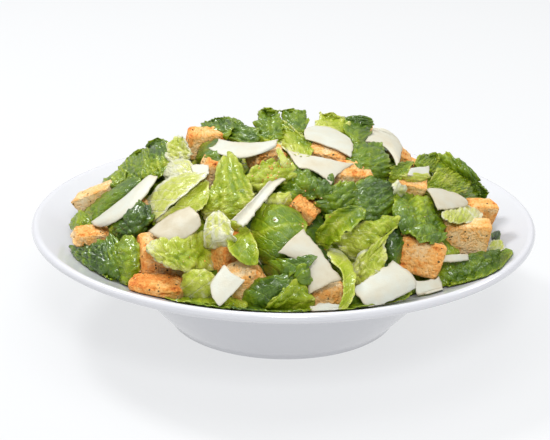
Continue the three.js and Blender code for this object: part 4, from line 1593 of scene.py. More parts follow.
@dataclass
class Croutons:
    """All the croutons as one piece. Lengths are in millimetres, and a cell is the size of a noise."""

    layout: Layout = Layout()
    finish: CroutonFinish = CroutonFinish()
    steps: int = 24
    skew: float = 0.09
    taper: float = 0.12
    lump: float = 0.45
    lump_cell: float = 7.5
    crumb: float = 0.22
    crumb_cells: Pair = (2.6, 1.3)
    fine_crumb: float = 0.6
    pit_depth: float = 0.5
    pit_cells: Pair = (2.1, 4.2)
    pit_span: Pair = (0.62, 0.85)
    hole_span: Pair = (0.62, 0.8)
    side_start: float = 0.6
    side_toast: Pair = (-0.16, 0.14)
    edge_toast: float = 0.12
    blotch_toast: float = 0.16
    blotch_cell: float = 5.0
    room: float = 0.5

    def build(self) -> Piece:
        """Makes the croutons over their solids."""
        skin, faces = cube_skin(self.steps)
        batch = MeshBatch()
        for seed, crouton in enumerate(CROUTONS, 1):
            batch.add(*self._shape(crouton, skin, faces, seed))
        piece = batch.build("toasted_croutons", self.finish.build())
        return dress(piece, "crouton", *numbered("crouton", len(CROUTONS)))

    def _shape(self, crouton: Crouton, skin: Array, faces: Array, seed: int) -> tuple[Array, Array, Array]:
        """Rounds, lumps, pits, turns and places one crouton.

        Args:
            crouton: its row.
            skin: the cube's places.
            faces: the cube's faces.
            seed: picks its noise.

        Returns:
            The vertices, the faces and the paint (toast, pit, 0).
        """
        chance = np.random.default_rng(seed)
        shape, outward = self._block(crouton, skin, chance)
        at = shape + seed * 97.0
        pit = smoothstep(*self.pit_span, lattice_noise(at, self.pit_cells[0], seed))
        hole = smoothstep(*self.hole_span, lattice_noise(at, self.pit_cells[1], seed + 4))
        relief = crouton.rough * (
            self.lump * lattice_noise(at, self.lump_cell, seed + 1)
            + self.crumb * lattice_noise(at, self.crumb_cells[0], seed + 2)
            + self.fine_crumb * self.crumb * lattice_noise(at, self.crumb_cells[1], seed + 3)
            - self.pit_depth * pit
            - self.pit_depth * hole
        )
        shape = shape + outward * relief[:, None]
        toast = crouton.toast + self._browning(skin, chance)
        edge = np.sort(np.abs(skin), axis=1)[:, 1]
        toast = toast + self.edge_toast * smoothstep(self.side_start, 1.0, edge)
        toast = toast + self.blotch_toast * layered_noise(at, self.blotch_cell, seed + 5)
        # the second paint channel marks the pits, which the finish darkens as painted shade
        paint = np.stack([np.clip(toast, 0, 1), np.clip(pit + hole, 0, 1), np.zeros(len(skin))], axis=1)
        x, y = np.array([crouton.at[0]]), np.array([crouton.at[1]])
        lift = np.array([-crouton.sunk], float)
        middle = self.layout.by_plan(x, y, lift) if crouton.plan else self.layout.by_sight(x, y, lift)
        placed = shape @ crouton.turn().T + middle[0]
        return self.layout.heap.clear_of_plate(placed, self.room), faces, paint

    def _block(self, crouton: Crouton, skin: Array, chance: np.random.Generator) -> tuple[Array, Array]:
        """A cube with worn corners, a little askew and tapered.

        A place is its nearest place on the inner cube, plus the wear along the way out from there.

        Args:
            crouton: its row.
            skin: the cube's places.
            chance: the crouton's random numbers.

        Returns:
            The places and their outward directions.
        """
        half = np.array(crouton.size) / 2
        inner = np.clip(skin, crouton.wear - 1, 1 - crouton.wear)
        outward = unit(skin - inner)
        skew = chance.uniform(-self.skew, self.skew, (3, 3))
        np.fill_diagonal(skew, 0)
        shape = ((inner + outward * crouton.wear) * half) @ (np.eye(3) + skew)
        taper = 1 + chance.uniform(-self.taper, self.taper) * shape[:, 2:] / half[2]
        return shape * np.concatenate([taper, taper, np.ones_like(taper)], axis=1), outward

    def _browning(self, skin: Array, chance: np.random.Generator) -> Array:
        """How much browner each place is by its side of the cube.

        Args:
            skin: the cube's places.
            chance: the crouton's random numbers.

        Returns:
            The six sides' values, blended by the square of how near the place is to each.
        """
        browning = chance.uniform(*self.side_toast, 6)
        share = np.clip(np.abs(skin) - self.side_start, 0, None) ** 2
        signs = (skin > 0).astype(int)
        return sum(share[:, k] * browning[2 * k + signs[:, k]] for k in range(3)) / share.sum(axis=1)


# ---- Parmesan ----


@dataclass
class Shavings:
    """All the parmesan shavings as one piece. Lengths are in millimetres."""

    layer: SheetLayer = SheetLayer(pitch=0.7, ragged=0.5, tear=3.0, corner=-0.03, tucked=False)
    finish: CheeseFinish = CheeseFinish()
    rim_seed: int = 301
    thickness: float = 0.95
    edge_thinning: float = 0.25
    thickness_swing: float = 0.2
    wave: float = 0.3
    wave_cells: Pair = (6.0, 11.0)
    wave_stretch: float = 0.35
    grain: float = 0.06
    grain_cell: float = 1.8
    grain_stretch: float = 0.3
    rim_tone: float = 0.3
    tone_swing: float = 0.16
    tone_cell: float = 7.0
    room: float = 0.9
    most_drop: float = 3.0
    skyline: Skyline = Skyline()

    def build(self) -> Piece:
        """Makes the shavings over their solids."""
        batch, top = MeshBatch(), self.skyline.line()
        sheets = FRONT_SHAVINGS + self.back_shavings()
        for seed, sheet in enumerate(sheets):
            batch.add(*self._shape(sheet, seed, top))
        piece = batch.build("parmesan_shavings", self.finish.build())
        return dress(piece, "parmesan", *numbered("parmesan", len(sheets)))

    def _shape(self, sheet: Sheet, seed: int, top: Array) -> tuple[Array, Array, Array]:
        """Lays one shaving, with long waves of noise and fine grain along its normals.

        Args:
            sheet: its row.
            seed: picks its noise.
            top: the skyline.

        Returns:
            The vertices, the faces and the paint (tone, edge, 0).
        """
        grid = self.layer.lay(sheet, seed + self.rim_seed)
        if sheet.plan:
            grid.middle[..., 2] -= min(self.skyline.drop(grid.middle, top), self.most_drop)
        flat = grid.flat(seed * 61.0)
        relief = self.wave * lattice_noise(flat * (1, self.wave_stretch, 1), self.wave_cells[0], seed)
        relief = relief + self.wave * lattice_noise(flat, self.wave_cells[1], seed + 7)
        relief += self.grain * lattice_noise(flat * (1, self.grain_stretch, 1), self.grain_cell, seed + 11)
        edge = smoothstep(0.9, 1.0, grid.outness)
        places = grid.middle + grid_normals(grid.middle) * relief[..., None]
        thickness = self.thickness * (1 - self.edge_thinning * edge)
        uneven = self.thickness_swing * lattice_noise(flat, self.wave_cells[0], seed + 19)
        solid, faces = thin_solid(places, thickness * (1 + uneven))
        tone = sheet.tone + self.rim_tone * edge
        tone = tone + self.tone_swing * lattice_noise(flat, self.tone_cell, seed + 23)
        paint = np.stack([np.clip(tone, 0, 1), edge, np.zeros_like(edge)], axis=-1).reshape(-1, 3)
        return self.layer.layout.heap.clear_of_plate(solid, self.room), faces, np.tile(paint, (2, 1))

    def back_shavings(self) -> tuple[Sheet, ...]:
        """The shavings behind the crown, from their rows in plan."""
        return tuple(
            Sheet("back shaving", laid_outline(*laid), out=out, cup=cup, plan=True)
            for *laid, out, cup in BACK_SHAVINGS
        )


# ---- Flecks and crumbs ----


@dataclass
class Scatter:
    """Small solids set on what a ray meets, one size and one kind to a piece."""

    name: str
    size: Pair
    flatness: float
    steps: int
    seed: int
    sunk: float = 0.2
    stretch: Pair = (0.6, 1.3)
    lump: float = 0.3
    tones: Pair = (0.15, 0.75)

    def build(self, hits: list[Ray], material: Material) -> Piece:
        """Makes one solid at each hit: a ball, stretched and lumped by noise.

        Args:
            hits: places and normals in metres.
            material: the finish.

        Returns:
            The piece.
        """
        chance = np.random.default_rng(self.seed)
        skin, faces = cube_skin(self.steps)
        ball = unit(skin)
        batch = MeshBatch()
        for number, (place, normal) in enumerate(hits):
            half = chance.uniform(*self.size) / 2 * chance.uniform(*self.stretch, 3)
            half[2] *= self.flatness
            lumps = 1 + self.lump * lattice_noise(ball * 2 + number * 7.3, 1.1, self.seed)
            shape = ball * half * lumps[:, None]
            upright = normal.to_track_quat("Z", "Y").to_matrix()
            spin = Matrix.Rotation(chance.uniform(0, 6.28), 3, "Z")
            turned = shape @ np.array(upright @ spin).T
            middle = np.array(place) / MM + np.array(normal) * half[2] * (1 - self.sunk)
            paint = np.zeros_like(skin)
            paint[:, 0] = chance.uniform(*self.tones)
            batch.add(turned + middle, faces, paint)
        return dress(batch.build(self.name, material), "crouton")


@dataclass(frozen=True)
class Probe:
    """Finds places on the built pieces."""

    layout: Layout = Layout()
    start_height: float = 0.3

    def from_sight(self, places: Array, wanted: tuple[str, ...]) -> list[Ray]:
        """Meets the scene along lines of sight.

        Args:
            places: sight grid places, (n, 2).
            wanted: names of the pieces to keep hits on.

        Returns:
            Places and normals in metres.
        """
        ways = self.layout.sight.ways(places[:, 0], places[:, 1])
        eye = Vector(self.layout.sight.eye * MM)
        return self._cast([(eye, Vector(way)) for way in ways], wanted)

    def from_above(self, places: Array, wanted: tuple[str, ...]) -> list[Ray]:
        """Meets the scene straight down at plan places in millimetres."""
        down = Vector((0.0, 0.0, -1.0))
        starts = (Vector((x * MM, y * MM, self.start_height)) for x, y in places)
        return self._cast([(start, down) for start in starts], wanted)

    def _cast(self, rays: list[Ray], wanted: tuple[str, ...]) -> list[Ray]:
        """Keeps each ray's first hit if its piece is wanted.

        Args:
            rays: starts and directions in metres.
            wanted: names of the pieces to keep hits on.

        Returns:
            Places and normals in metres.
        """
        bpy.context.view_layer.update()
        graph = bpy.context.evaluated_depsgraph_get()
        hits = []
        for start, way in rays:
            found, place, normal, _, piece, _ = bpy.context.scene.ray_cast(graph, start, way)
            if found and piece.name in wanted:
                hits.append((place, normal))
        return hits


@dataclass
class Crumbs:
    """Herb flecks on the croutons and bread crumbs round them."""

    probe: Probe = Probe()
    flecks: Scatter = field(default_factory=lambda: Scatter("herb_flecks", (0.5, 1.3), 0.3, 2, 5))
    crumbs: Scatter = field(default_factory=lambda: Scatter("bread_crumbs", (0.4, 1.1), 0.7, 3, 6))
    fleck_count: int = 520
    fleck_sight: tuple = ((60, 110), (510, 310))
    fleck_plan: tuple = ((-100, 10), (100, 112))
    seed: int = 8

    def build(self, hidden: list[Piece]) -> list[Piece]:
        """Makes both pieces.

        Args:
            hidden: objects that rays must pass through.

        Returns:
            The two pieces.
        """
        shown = [item.hide_viewport for item in hidden]
        for item in hidden:
            item.hide_viewport = True
        chance = np.random.default_rng(self.seed)
        spread = chance.uniform(*self.fleck_sight, (self.fleck_count, 2))
        behind = chance.uniform(*self.fleck_plan, (self.fleck_count // 2, 2))
        bread = ("toasted_croutons",)
        on_bread = self.probe.from_sight(spread, bread) + self.probe.from_above(behind, bread)
        near = [chance.normal(spot, width, (count, 2)) for spot, width, count in CRUMB_SPOTS]
        salad = (*(kind.piece for kind in LeafKind), *bread)
        on_leaf = self.probe.from_sight(np.concatenate(near), salad)
        for item, state in zip(hidden, shown):
            item.hide_viewport = state
        toasted = bpy.data.materials["toasted_bread"]
        return [self.flecks.build(on_bread, FleckFinish().build()), self.crumbs.build(on_leaf, toasted)]


# ---- Stage ----


@dataclass(frozen=True)
class Softbox:
    """A soft light: its power, size and place in metres, and what it looks at."""

    name: str
    power: float
    size: float
    place: tuple[float, float, float]
    target: tuple[float, float, float] = (0.0, 0.0, 0.05)

    def build(self) -> Piece:
        """Makes the light."""
        light = bpy.data.lights.new(self.name, "AREA")
        light.energy = self.power
        light.size = self.size
        lamp = bpy.data.objects.new(self.name, light)
        lamp.location = self.place
        way = Vector(self.target) - Vector(self.place)
        lamp.rotation_euler = way.to_track_quat("-Z", "Y").to_euler()
        bpy.context.scene.collection.objects.link(lamp)
        return lamp


@dataclass(frozen=True)
class Stage:
    """The pale floor, the lights and the camera."""

    sight: Sight = Sight()
    floor_size: float = 6.0
    floor_drop: float = 0.0003
    floor_colour: tuple = (126, 127, 128)
    floor_glow: float = 0.66
    floor_light: tuple = (0.985, 0.992, 1.0, 1.0)
    sky_light: tuple = (0.985, 0.99, 1.0, 1.0)
    sky_strength: float = 0.48
    sensor: float = 36.0
    clip: Pair = (0.05, 20.0)

    def build(self) -> Piece:
        """Makes all three and returns the floor."""
        floor = self._floor()
        self._sky()
        for softbox in SOFTBOXES:
            softbox.build()
        self._camera()
        bpy.context.scene.view_settings.view_transform = "Standard"
        return floor

    def _floor(self) -> Piece:
        """A large pale plane just below the foot."""
        half = self.floor_size / 2
        mesh = bpy.data.meshes.new("floor")
        corners = [(-half, -half), (half, -half), (half, half), (-half, half)]
        mesh.from_pydata([(x, y, -self.floor_drop) for x, y in corners], [], [(0, 1, 2, 3)])
        bench = Bench("floor_white")
        others = {
            "Specular IOR Level": 0.0,
            "Emission Color": self.floor_light,
            "Emission Strength": self.floor_glow,
        }
        body = bench.body((*linear(self.floor_colour), 1.0), 1.0, others)
        mesh.materials.append(bench.finish(body))
        floor = bpy.data.objects.new("floor", mesh)
        bpy.context.scene.collection.objects.link(floor)
        return floor

    def _sky(self) -> None:
        """An even, slightly cool surround."""
        world = bpy.data.worlds.new("studio")
        world.use_nodes = True
        back = world.node_tree.nodes["Background"]
        back.inputs["Color"].default_value = self.sky_light
        back.inputs["Strength"].default_value = self.sky_strength
        bpy.context.scene.world = world

    def _camera(self) -> None:
        """The camera at the sight grid's eye, with its aim, roll and angle of view."""
        lens = bpy.data.cameras.new("camera")
        lens.sensor_width = self.sensor
        lens.lens = self.sensor * self.sight.steps_per_radian / self.sight.size[0]
        lens.clip_start, lens.clip_end = self.clip
        camera = bpy.data.objects.new("camera", lens)
        right, up, ahead = self.sight.axes()
        placed = Matrix.Identity(4)
        for column, axis in enumerate((right, up, -ahead)):
            placed.col[column][:3] = axis.tolist()
        placed.translation = Vector(self.sight.eye * MM)
        camera.matrix_world = placed
        bpy.context.scene.collection.objects.link(camera)
        bpy.context.scene.camera = camera


# ---- Rows ----

FRONT_LEAVES = (
    Leaf("left flank long blade",
        (85, 210, 88, 218, 93, 226, 116, 204, 138, 186, 142, 179, 136, 177, 108, 192),
        out=3, cup=-4, tone=0.26, frill=0.6, crinkle=0.6, rib=0.12),
    # the two skyline curls' streaks: partly pale ribs, partly painted highlight streaks
    Leaf("left skyline curl",
        (116, 184, 134, 188, 150, 184, 157, 170, 152, 152, 140, 149, 127, 160, 118, 172),
        out=3, cup=-5, tone=0.34, frill=2.8, crinkle=1.1, rib=0, streak=0.5),
    Leaf("second skyline curl",
        (143, 176, 158, 178, 169, 170, 171, 154, 168, 142, 157, 138, 148, 144, 143, 158),
        out=4, cup=-5, tone=0.36, frill=2.6, crinkle=1.1, rib=0, streak=0.4),
    Leaf("heart scrap by the first crouton",
        (167, 162, 178, 165, 188, 162, 191, 150, 187, 140, 180, 137, 172, 141, 167, 150),
        out=2, cup=3, tone=0.8, frill=1, crinkle=1.6, rib=0.2, streak=0.2),
    Leaf("rib by the strip",
        (163, 165, 162, 172, 166, 180, 180, 180, 194, 176, 195, 168, 190, 161, 177, 159),
        out=4, cup=-4, tone=0.93, frill=0.6, crinkle=0.5, rib=0.3, streak=0.2),
    Leaf("big pale fold",
        (145, 202, 147, 214, 150, 227, 176, 203, 209, 176, 200, 173, 185, 172, 162, 183),
        out=8, rise=3, roll=6, cup=-2, tone=0.82, frill=0.8, crinkle=0.3, streak=0.3),
    Leaf("pale fold's flap",
        (150, 227, 166, 224, 178, 216, 196, 212, 207, 205, 210, 190, 209, 176, 176, 203),
        out=6, roll=6, cup=2, tone=0.7, frill=1, crinkle=0.6, streak=0.2),
    Leaf("crown tip left",
        (195, 128, 206, 134, 222, 138, 233, 132, 230, 118, 222, 117, 212, 120, 203, 123),
        out=7, cup=-4, tone=0.32, frill=2, crinkle=1.4),
    Leaf("crown strip",
        (226, 119, 225, 131, 230, 143, 245, 145, 259, 143, 257, 130, 244, 125, 234, 119),
        out=4, cup=-5, tone=0.3, frill=2, crinkle=1.4),
    Leaf("smooth blade under the strip",
        (197, 150, 198, 159, 204, 165, 214, 165, 223, 163, 223, 150, 219, 137, 206, 142),
        out=8, cup=-5, arch=-3, tone=0.28, frill=0.8, crinkle=0.6),
    Leaf("crown curl",
        (256, 144, 268, 146, 281, 145, 283, 128, 277, 111, 268, 107, 260, 110, 256, 126),
        out=6, cup=-5, tone=0.38, frill=3, crinkle=1.8, rib=0.3),
    Leaf("crown gloss curl",
        (284, 130, 294, 137, 305, 140, 307, 126, 305, 113, 296, 109, 283, 110, 281, 121),
        out=5, cup=-4, tone=0.34, frill=2, crinkle=1.8, rib=0),
    Leaf("yellow fold at the crown",
        (280, 121, 278, 134, 281, 149, 296, 155, 310, 158, 314, 148, 303, 137, 292, 126),
        out=3, cup=4, tone=0.6, crinkle=1.2, streak=0.1),
    Leaf("lime stalk",
        (285, 177, 290, 178, 296, 173, 289, 160, 281, 149, 278, 148, 275, 150, 280, 164),
        out=12, cup=1, tone=0.7, frill=0.4, crinkle=0.2, rib=0.2),
    Leaf("crumbed ruffle",
        (247, 191, 260, 193, 274, 183, 293, 180, 293, 166, 278, 161, 262, 167, 249, 175),
        out=5, cup=-3, tone=0.56, frill=3, crinkle=2),
    Leaf("central ribbed blade",
        (211, 216, 228, 223, 247, 215, 254, 198, 243, 172, 229, 154, 220, 168, 211, 196),
        out=9, rise=-4, cup=-5, tone=0.57, frill=1.6, crinkle=0.8, rib=0.35, streak=0.4),
    Leaf("ruffle beside it",
        (202, 217, 211, 224, 221, 222, 223, 204, 219, 189, 214, 185, 208, 191, 203, 204),
        out=6, cup=-3, tone=0.64, frill=2.6, crinkle=1.2, rib=0.2, streak=0.3),
    Leaf("bulged blade",
        (275, 177, 272, 187, 277, 197, 302, 200, 327, 195, 334, 182, 327, 171, 300, 170),
        out=6, cup=-6, tone=0.28, frill=2, crinkle=2.4),
    Leaf("bright crown fold",
        (311, 131, 324, 136, 341, 139, 348, 128, 343, 119, 332, 113, 321, 116, 315, 124),
        out=4, cup=-3, tone=0.62, frill=2.2, crinkle=1.4),
    Leaf("round crown blade",
        (349, 143, 356, 151, 364, 146, 371, 131, 374, 119, 360, 115, 345, 117, 344, 130),
        out=8, cup=-4, arch=-3, tone=0.3, frill=0.8, crinkle=0.8),
    Leaf("domed blade",
        (348, 166, 366, 183, 389, 184, 390, 165, 384, 148, 371, 142, 355, 148, 345, 158),
        out=8, cup=-6, arch=-4, tone=0.34, frill=1, crinkle=1.4, rib=0.15),
    Leaf("dark centre curl",
        (320, 212, 336, 221, 350, 215, 357, 200, 353, 187, 340, 183, 327, 189, 320, 200),
        out=5, cup=-4, tone=0.26, frill=3, crinkle=2.2),
    Leaf("dark centre blade",
        (349, 216, 370, 227, 391, 221, 396, 202, 392, 183, 374, 178, 355, 183, 349, 198),
        out=5, cup=-5, tone=0.28, frill=1.2, crinkle=1.2, rib=0.15),
    Leaf("light scrap right",
        (388, 181, 394, 184, 401, 180, 408, 171, 415, 163, 411, 160, 400, 165, 390, 170),
        out=4, cup=3, tone=0.45),
    Leaf("heart sliver",
        (393, 197, 400, 198, 408, 193, 405, 187, 400, 182, 396, 181, 392, 184, 392, 190),
        out=5, cup=3, tone=0.9, frill=1.2, rib=0.2),
    Leaf("right arching blade",
        (429, 157, 431, 168, 437, 179, 457, 178, 480, 184, 479, 178, 467, 167, 449, 155),
        out=5, cup=-4, tone=0.28, frill=0.8, rib=0.12),
    Leaf("right light fold",
        (423, 192, 438, 197, 456, 197, 467, 189, 470, 180, 452, 170, 439, 173, 429, 181),
        out=4, cup=-3, tone=0.5, crinkle=1.4, rib=0.15),
    Leaf("right dark fold",
        (458, 195, 468, 201, 482, 202, 488, 196, 485, 187, 478, 181, 468, 181, 460, 187),
        out=2, cup=4, tone=0.27),
    Leaf("bright crinkled blade",
        (439, 207, 420, 192, 397, 192, 393, 206, 395, 226, 418, 241, 438, 249, 443, 231),
        out=9, cup=-5, tone=0.35, frill=2.2, crinkle=2.2, rib=0.15, rise=5),
    Leaf("cream scrap",
        (443, 211, 460, 205, 477, 206, 483, 214, 478, 221, 458, 224, 442, 219, 441, 214),
        out=12, tone=0.8, frill=0.9, crinkle=0.4, rib=0.2, streak=0.3),
    Leaf("pale scraps by the rim",
        (489, 255, 494, 258, 501, 256, 504, 248, 502, 241, 496, 240, 491, 241, 489, 248),
        out=3, cup=3, tone=0.82, frill=1, crinkle=0.5, rib=0.2, streak=0.2),
    # its streaks: partly pale ribs, partly painted highlight streaks
    Leaf("left glossy curl",
        (79, 265, 100, 278, 125, 288, 127, 262, 114, 231, 101, 242, 83, 243, 71, 250),
        out=6, cup=-5, tone=0.22, frill=2.8, crinkle=1.15, streak=0.6),
    Leaf("dark hollow left",
        (113, 236, 128, 243, 143, 237, 152, 218, 151, 205, 138, 204, 123, 211, 113, 222),
        out=5, cup=-4, tone=0.2, frill=2, crinkle=1.6),
    Leaf("bright blade left",
        (119, 281, 127, 289, 135, 281, 140, 262, 137, 239, 128, 234, 120, 238, 115, 258),
        out=8, cup=-4, tone=0.48, frill=1.4, crinkle=0.9, rib=0.15),
    Leaf("big light blade",
        (213, 272, 214, 250, 222, 222, 186, 234, 156, 240, 149, 248, 153, 258, 182, 270),
        out=12, cup=-5, tone=0.66, frill=2.4, crinkle=1.5, rib=0.3, streak=0.25, rise=4),
    Leaf("white ruffle",
        (203, 250, 216, 252, 231, 250, 235, 238, 231, 222, 220, 213, 207, 217, 203, 232),
        out=12, cup=3, roll=2, tone=0.8, frill=3, streak=0.6),
    Leaf("pale rib chunk",
        (181, 296, 198, 301, 215, 298, 216, 284, 213, 273, 198, 270, 183, 273, 181, 284),
        out=6, cup=-4, tone=0.68, frill=0.8, crinkle=0.5, streak=0.35),
    Leaf("front rim strip",
        (168, 297, 205, 299, 241, 298, 247, 304, 243, 310, 208, 311, 172, 308, 165, 302),
        out=2, tone=0.44, rib=0.15),
    Leaf("big smooth blade",
        (247, 216, 248, 245, 257, 261, 276, 262, 295, 244, 307, 230, 301, 213, 274, 203),
        out=13, cup=-8, arch=-4, tone=0.36, frill=0.7, crinkle=0.25, rib=0.45),
    Leaf("olive spoon",
        (248, 228, 240, 225, 233, 231, 227, 246, 235, 259, 248, 266, 258, 263, 256, 244),
        out=10, cup=4, tone=0.55, frill=0.7, crinkle=0.5, streak=0.2),
    Leaf("dark tip by the shaving",
        (266, 262, 263, 270, 270, 280, 290, 276, 305, 266, 317, 257, 305, 256, 284, 259),
        out=16, cup=-3, rise=6, tone=0.25, frill=2, crinkle=1.2),
    Leaf("front fold",
        (242, 298, 242, 308, 252, 314, 270, 304, 298, 290, 300, 280, 288, 275, 258, 280),
        out=9, cup=-4, roll=-3, tone=0.27, rib=0.15),
    Leaf("front glossy blade",
        (299, 292, 304, 294, 309, 291, 311, 280, 307, 268, 302, 265, 297, 270, 296, 281),
        out=16, cup=-3, tone=0.23, frill=1),
    Leaf("bright front ruffle",
        (262, 313, 286, 315, 311, 314, 314, 302, 309, 292, 296, 282, 281, 292, 269, 303),
        out=11, cup=-3, tone=0.46, frill=3, crinkle=1.4, rib=0.15),
    Leaf("open v blade",
        (312, 236, 318, 244, 327, 251, 346, 233, 367, 217, 363, 208, 350, 205, 331, 215),
        out=8, cup=5, tone=0.42, frill=1, crinkle=0.8, rib=0.35),
    Leaf("lime ribbon",
        (347, 257, 334, 250, 321, 251, 343, 279, 334, 310, 341, 313, 349, 308, 356, 280),
        out=9, cup=2, tone=0.62, frill=0.8, crinkle=0.5, streak=0.3, rib=0.12),
    Leaf("light ruffle right",
        (335, 243, 342, 251, 352, 260, 377, 242, 398, 224, 399, 218, 390, 219, 360, 226),
        out=9, cup=-3, tone=0.6, frill=2.2, crinkle=1.4, rib=0.2, streak=0.2),
    Leaf("light blade right",
        (353, 261, 350, 276, 354, 290, 370, 279, 391, 265, 385, 246, 398, 224, 377, 242),
        out=8, roll=-4, tone=0.66, frill=1.6, crinkle=1.1, rib=0.3, streak=0.25),
    Leaf("dark blade right",
        (388, 264, 394, 268, 400, 264, 403, 244, 398, 226, 392, 225, 387, 232, 385, 247),
        out=5, cup=-3, tone=0.22, frill=0.8, crinkle=0.8),
    Leaf("long blade on the rim",
        (439, 259, 437, 274, 445, 291, 472, 285, 501, 270, 513, 252, 500, 252, 468, 255),
        out=3, cup=-4, tone=0.28, frill=1.2, crinkle=1.2, rib=0.25),
    Leaf("skyline speck",
        (103, 187, 110, 190, 118, 188, 124, 181, 127, 173, 120, 170, 112, 174, 105, 181),
        out=2, cup=-3, tone=0.4, rib=0),
    Leaf("pale scrap at the middle",
        (267, 208, 278, 211, 291, 206, 293, 199, 288, 195, 280, 193, 273, 195, 268, 201),
        out=4, cup=-3, tone=0.7, rib=0.2),
    Leaf("olive scrap right",
        (397, 178, 403, 182, 412, 185, 421, 182, 429, 178, 427, 176, 412, 175, 402, 175),
        out=8, cup=-3, tone=0.62, frill=1, crinkle=0.8, rib=0),
    Leaf("skyline scrap right",
        (415, 168, 424, 172, 435, 170, 439, 159, 435, 151, 426, 155, 419, 157, 415, 162),
        out=2, cup=-3, tone=0.42, crinkle=1.2, rib=0),
    Leaf("heart scrap left",
        (72, 228, 78, 231, 87, 229, 91, 222, 88, 215, 82, 212, 76, 216, 72, 222),
        out=2, cup=-2, tone=0.42, frill=1, crinkle=0.8, rib=0.2),
    Leaf("olive scrap by the fold",
        (221, 231, 228, 234, 236, 232, 239, 226, 235, 221, 228, 220, 222, 222, 220, 226),
        out=8, cup=2, tone=0.6, frill=0.8, crinkle=0.8, rib=0),
    Leaf("dark scrap at the front",
        (348, 309, 357, 312, 367, 309, 366, 300, 361, 294, 356, 292, 351, 295, 348, 301),
        out=3, cup=2, tone=0.3, frill=0.8, crinkle=0.6, rib=0),
    Leaf("dark scrap by the rim",
        (492, 238, 494, 240, 497, 240, 499, 236, 500, 232, 497, 231, 493, 232, 491, 235),
        out=4, cup=1, tone=0.2, frill=0.4, crinkle=0.6, rib=0),
    Leaf("front sliver",
        (371, 302, 376, 307, 384, 309, 398, 304, 413, 295, 409, 290, 398, 291, 384, 297),
        out=1, cup=1, tone=0.45, frill=0.6, crinkle=0.6, rib=0),
    Leaf("left rim scrap",
        (182, 302, 205, 304, 228, 304, 239, 308, 232, 315, 207, 315, 178, 312, 172, 306),
        out=7, tone=0.42, frill=1, crinkle=0.8, rib=0),
    Leaf("dark rim scrap",
        (226, 304, 243, 305, 260, 305, 268, 311, 262, 317, 243, 317, 227, 316, 220, 310),
        out=7, tone=0.26, frill=0.8, crinkle=0.8, rib=0),
    Leaf("bright rim scrap",
        (258, 306, 283, 305, 306, 305, 314, 311, 308, 317, 283, 318, 260, 318, 254, 312),
        out=7, tone=0.42, frill=1, crinkle=0.9, rib=0),
    Leaf("right rim scrap",
        (334, 304, 350, 303, 366, 300, 374, 304, 370, 312, 352, 315, 336, 317, 330, 310),
        out=7, tone=0.36, frill=0.8, crinkle=0.8, rib=0),
)

BACK_ROWS = (
    (7, 101, 17, 163, 40, 40, 5),
    (5, 67, 30, 150, 54, 38, 2),
    (6, 85, 22, 158, 38, 30, 8),
)

UNDER_RANGES = {
    "rise": (-5, 5),
    "roll": (-5, 5),
    "cup": (-5, 1),
    "arch": (-3, 2),
    "frill": (1.5, 3.0),
    "crinkle": (0.8, 1.8),
}

FRONT_SHAVINGS = (
    Sheet("strip at the top left",
        (210, 149, 215, 145, 219, 139, 248, 143, 277, 140, 277, 143, 275, 147, 240, 158),
        out=9, cup=-2, arch=2),
    Sheet("front crown shaving",
        (288, 151, 291, 158, 299, 168, 315, 172, 331, 184, 341, 172, 354, 164, 322, 158),
        out=6, cup=1, arch=-2, tone=0.4),
    Sheet("crown shaving behind it",
        (305, 130, 304, 135, 306, 139, 328, 146, 350, 157, 353, 149, 350, 139, 326, 127),
        out=9, rise=-3, cup=-1),
    Sheet("curled shaving right of the crown",
        (365, 142, 369, 135, 373, 129, 390, 132, 402, 148, 400, 159, 397, 168, 386, 148),
        out=4, cup=-3, arch=-3, tone=0.35),
    Sheet("scrap by the first crouton",
        (191, 166, 192, 171, 197, 175, 203, 175, 209, 174, 209, 170, 208, 166, 200, 165),
        out=6),
    Sheet("long strip at the left",
        (92, 221, 94, 225, 101, 227, 130, 212, 157, 178, 151, 175, 145, 179, 121, 200),
        out=6, cup=-2, arch=-2),
    Sheet("broad shaving left of the middle",
        (149, 231, 158, 237, 170, 244, 190, 236, 201, 225, 198, 214, 190, 207, 168, 217),
        out=10, cup=-3, rise=2, tone=0.6),
    Sheet("upright strip at the middle",
        (232, 220, 237, 224, 244, 227, 263, 203, 283, 180, 277, 178, 270, 180, 251, 201),
        out=5, cup=2, rise=-2),
    Sheet("large triangle at the front",
        (278, 253, 289, 241, 303, 231, 322, 253, 339, 279, 325, 286, 310, 292, 302, 266),
        out=13, cup=-2, rise=-3, tone=0.45),
    Sheet("kite at the front",
        (211, 285, 213, 298, 219, 306, 230, 297, 244, 281, 235, 275, 225, 266, 218, 274),
        out=10, roll=2, cup=-1),
    Sheet("broad shaving at the right front",
        (353, 289, 360, 299, 368, 309, 392, 300, 415, 288, 412, 276, 393, 262, 370, 277),
        out=9, cup=-2),
    Sheet("its neighbour by the rim",
        (414, 281, 415, 289, 418, 296, 430, 297, 443, 294, 442, 286, 438, 278, 426, 281),
        out=-3),
    Sheet("shaving above the square crouton",
        (426, 190, 432, 197, 438, 210, 452, 209, 466, 206, 467, 201, 458, 194, 442, 189),
        out=6, cup=-2, tone=0.45),
    Sheet("scrap right of the crown",
        (407, 176, 409, 172, 411, 169, 419, 168, 428, 167, 429, 172, 427, 177, 417, 177),
        out=8, rise=2),
    Sheet("sliver under the square crouton",
        (441, 256, 441, 258, 442, 261, 455, 262, 468, 260, 468, 257, 467, 255, 454, 255),
        out=4, rise=-2),
    Sheet("sliver at the front rim",
        (310, 306, 312, 312, 318, 317, 328, 317, 339, 313, 342, 309, 343, 305, 326, 304),
        out=8),
)

BACK_SHAVINGS = (
    (64, 96, 34, 21, 150, 5, -3),
    (96, 96, 34, 20, 70, 2, -2),
    (133, 103, 34, 20, 120, 4, -3),
    (29, 104, 34, 18, 80, 4, -3),
)

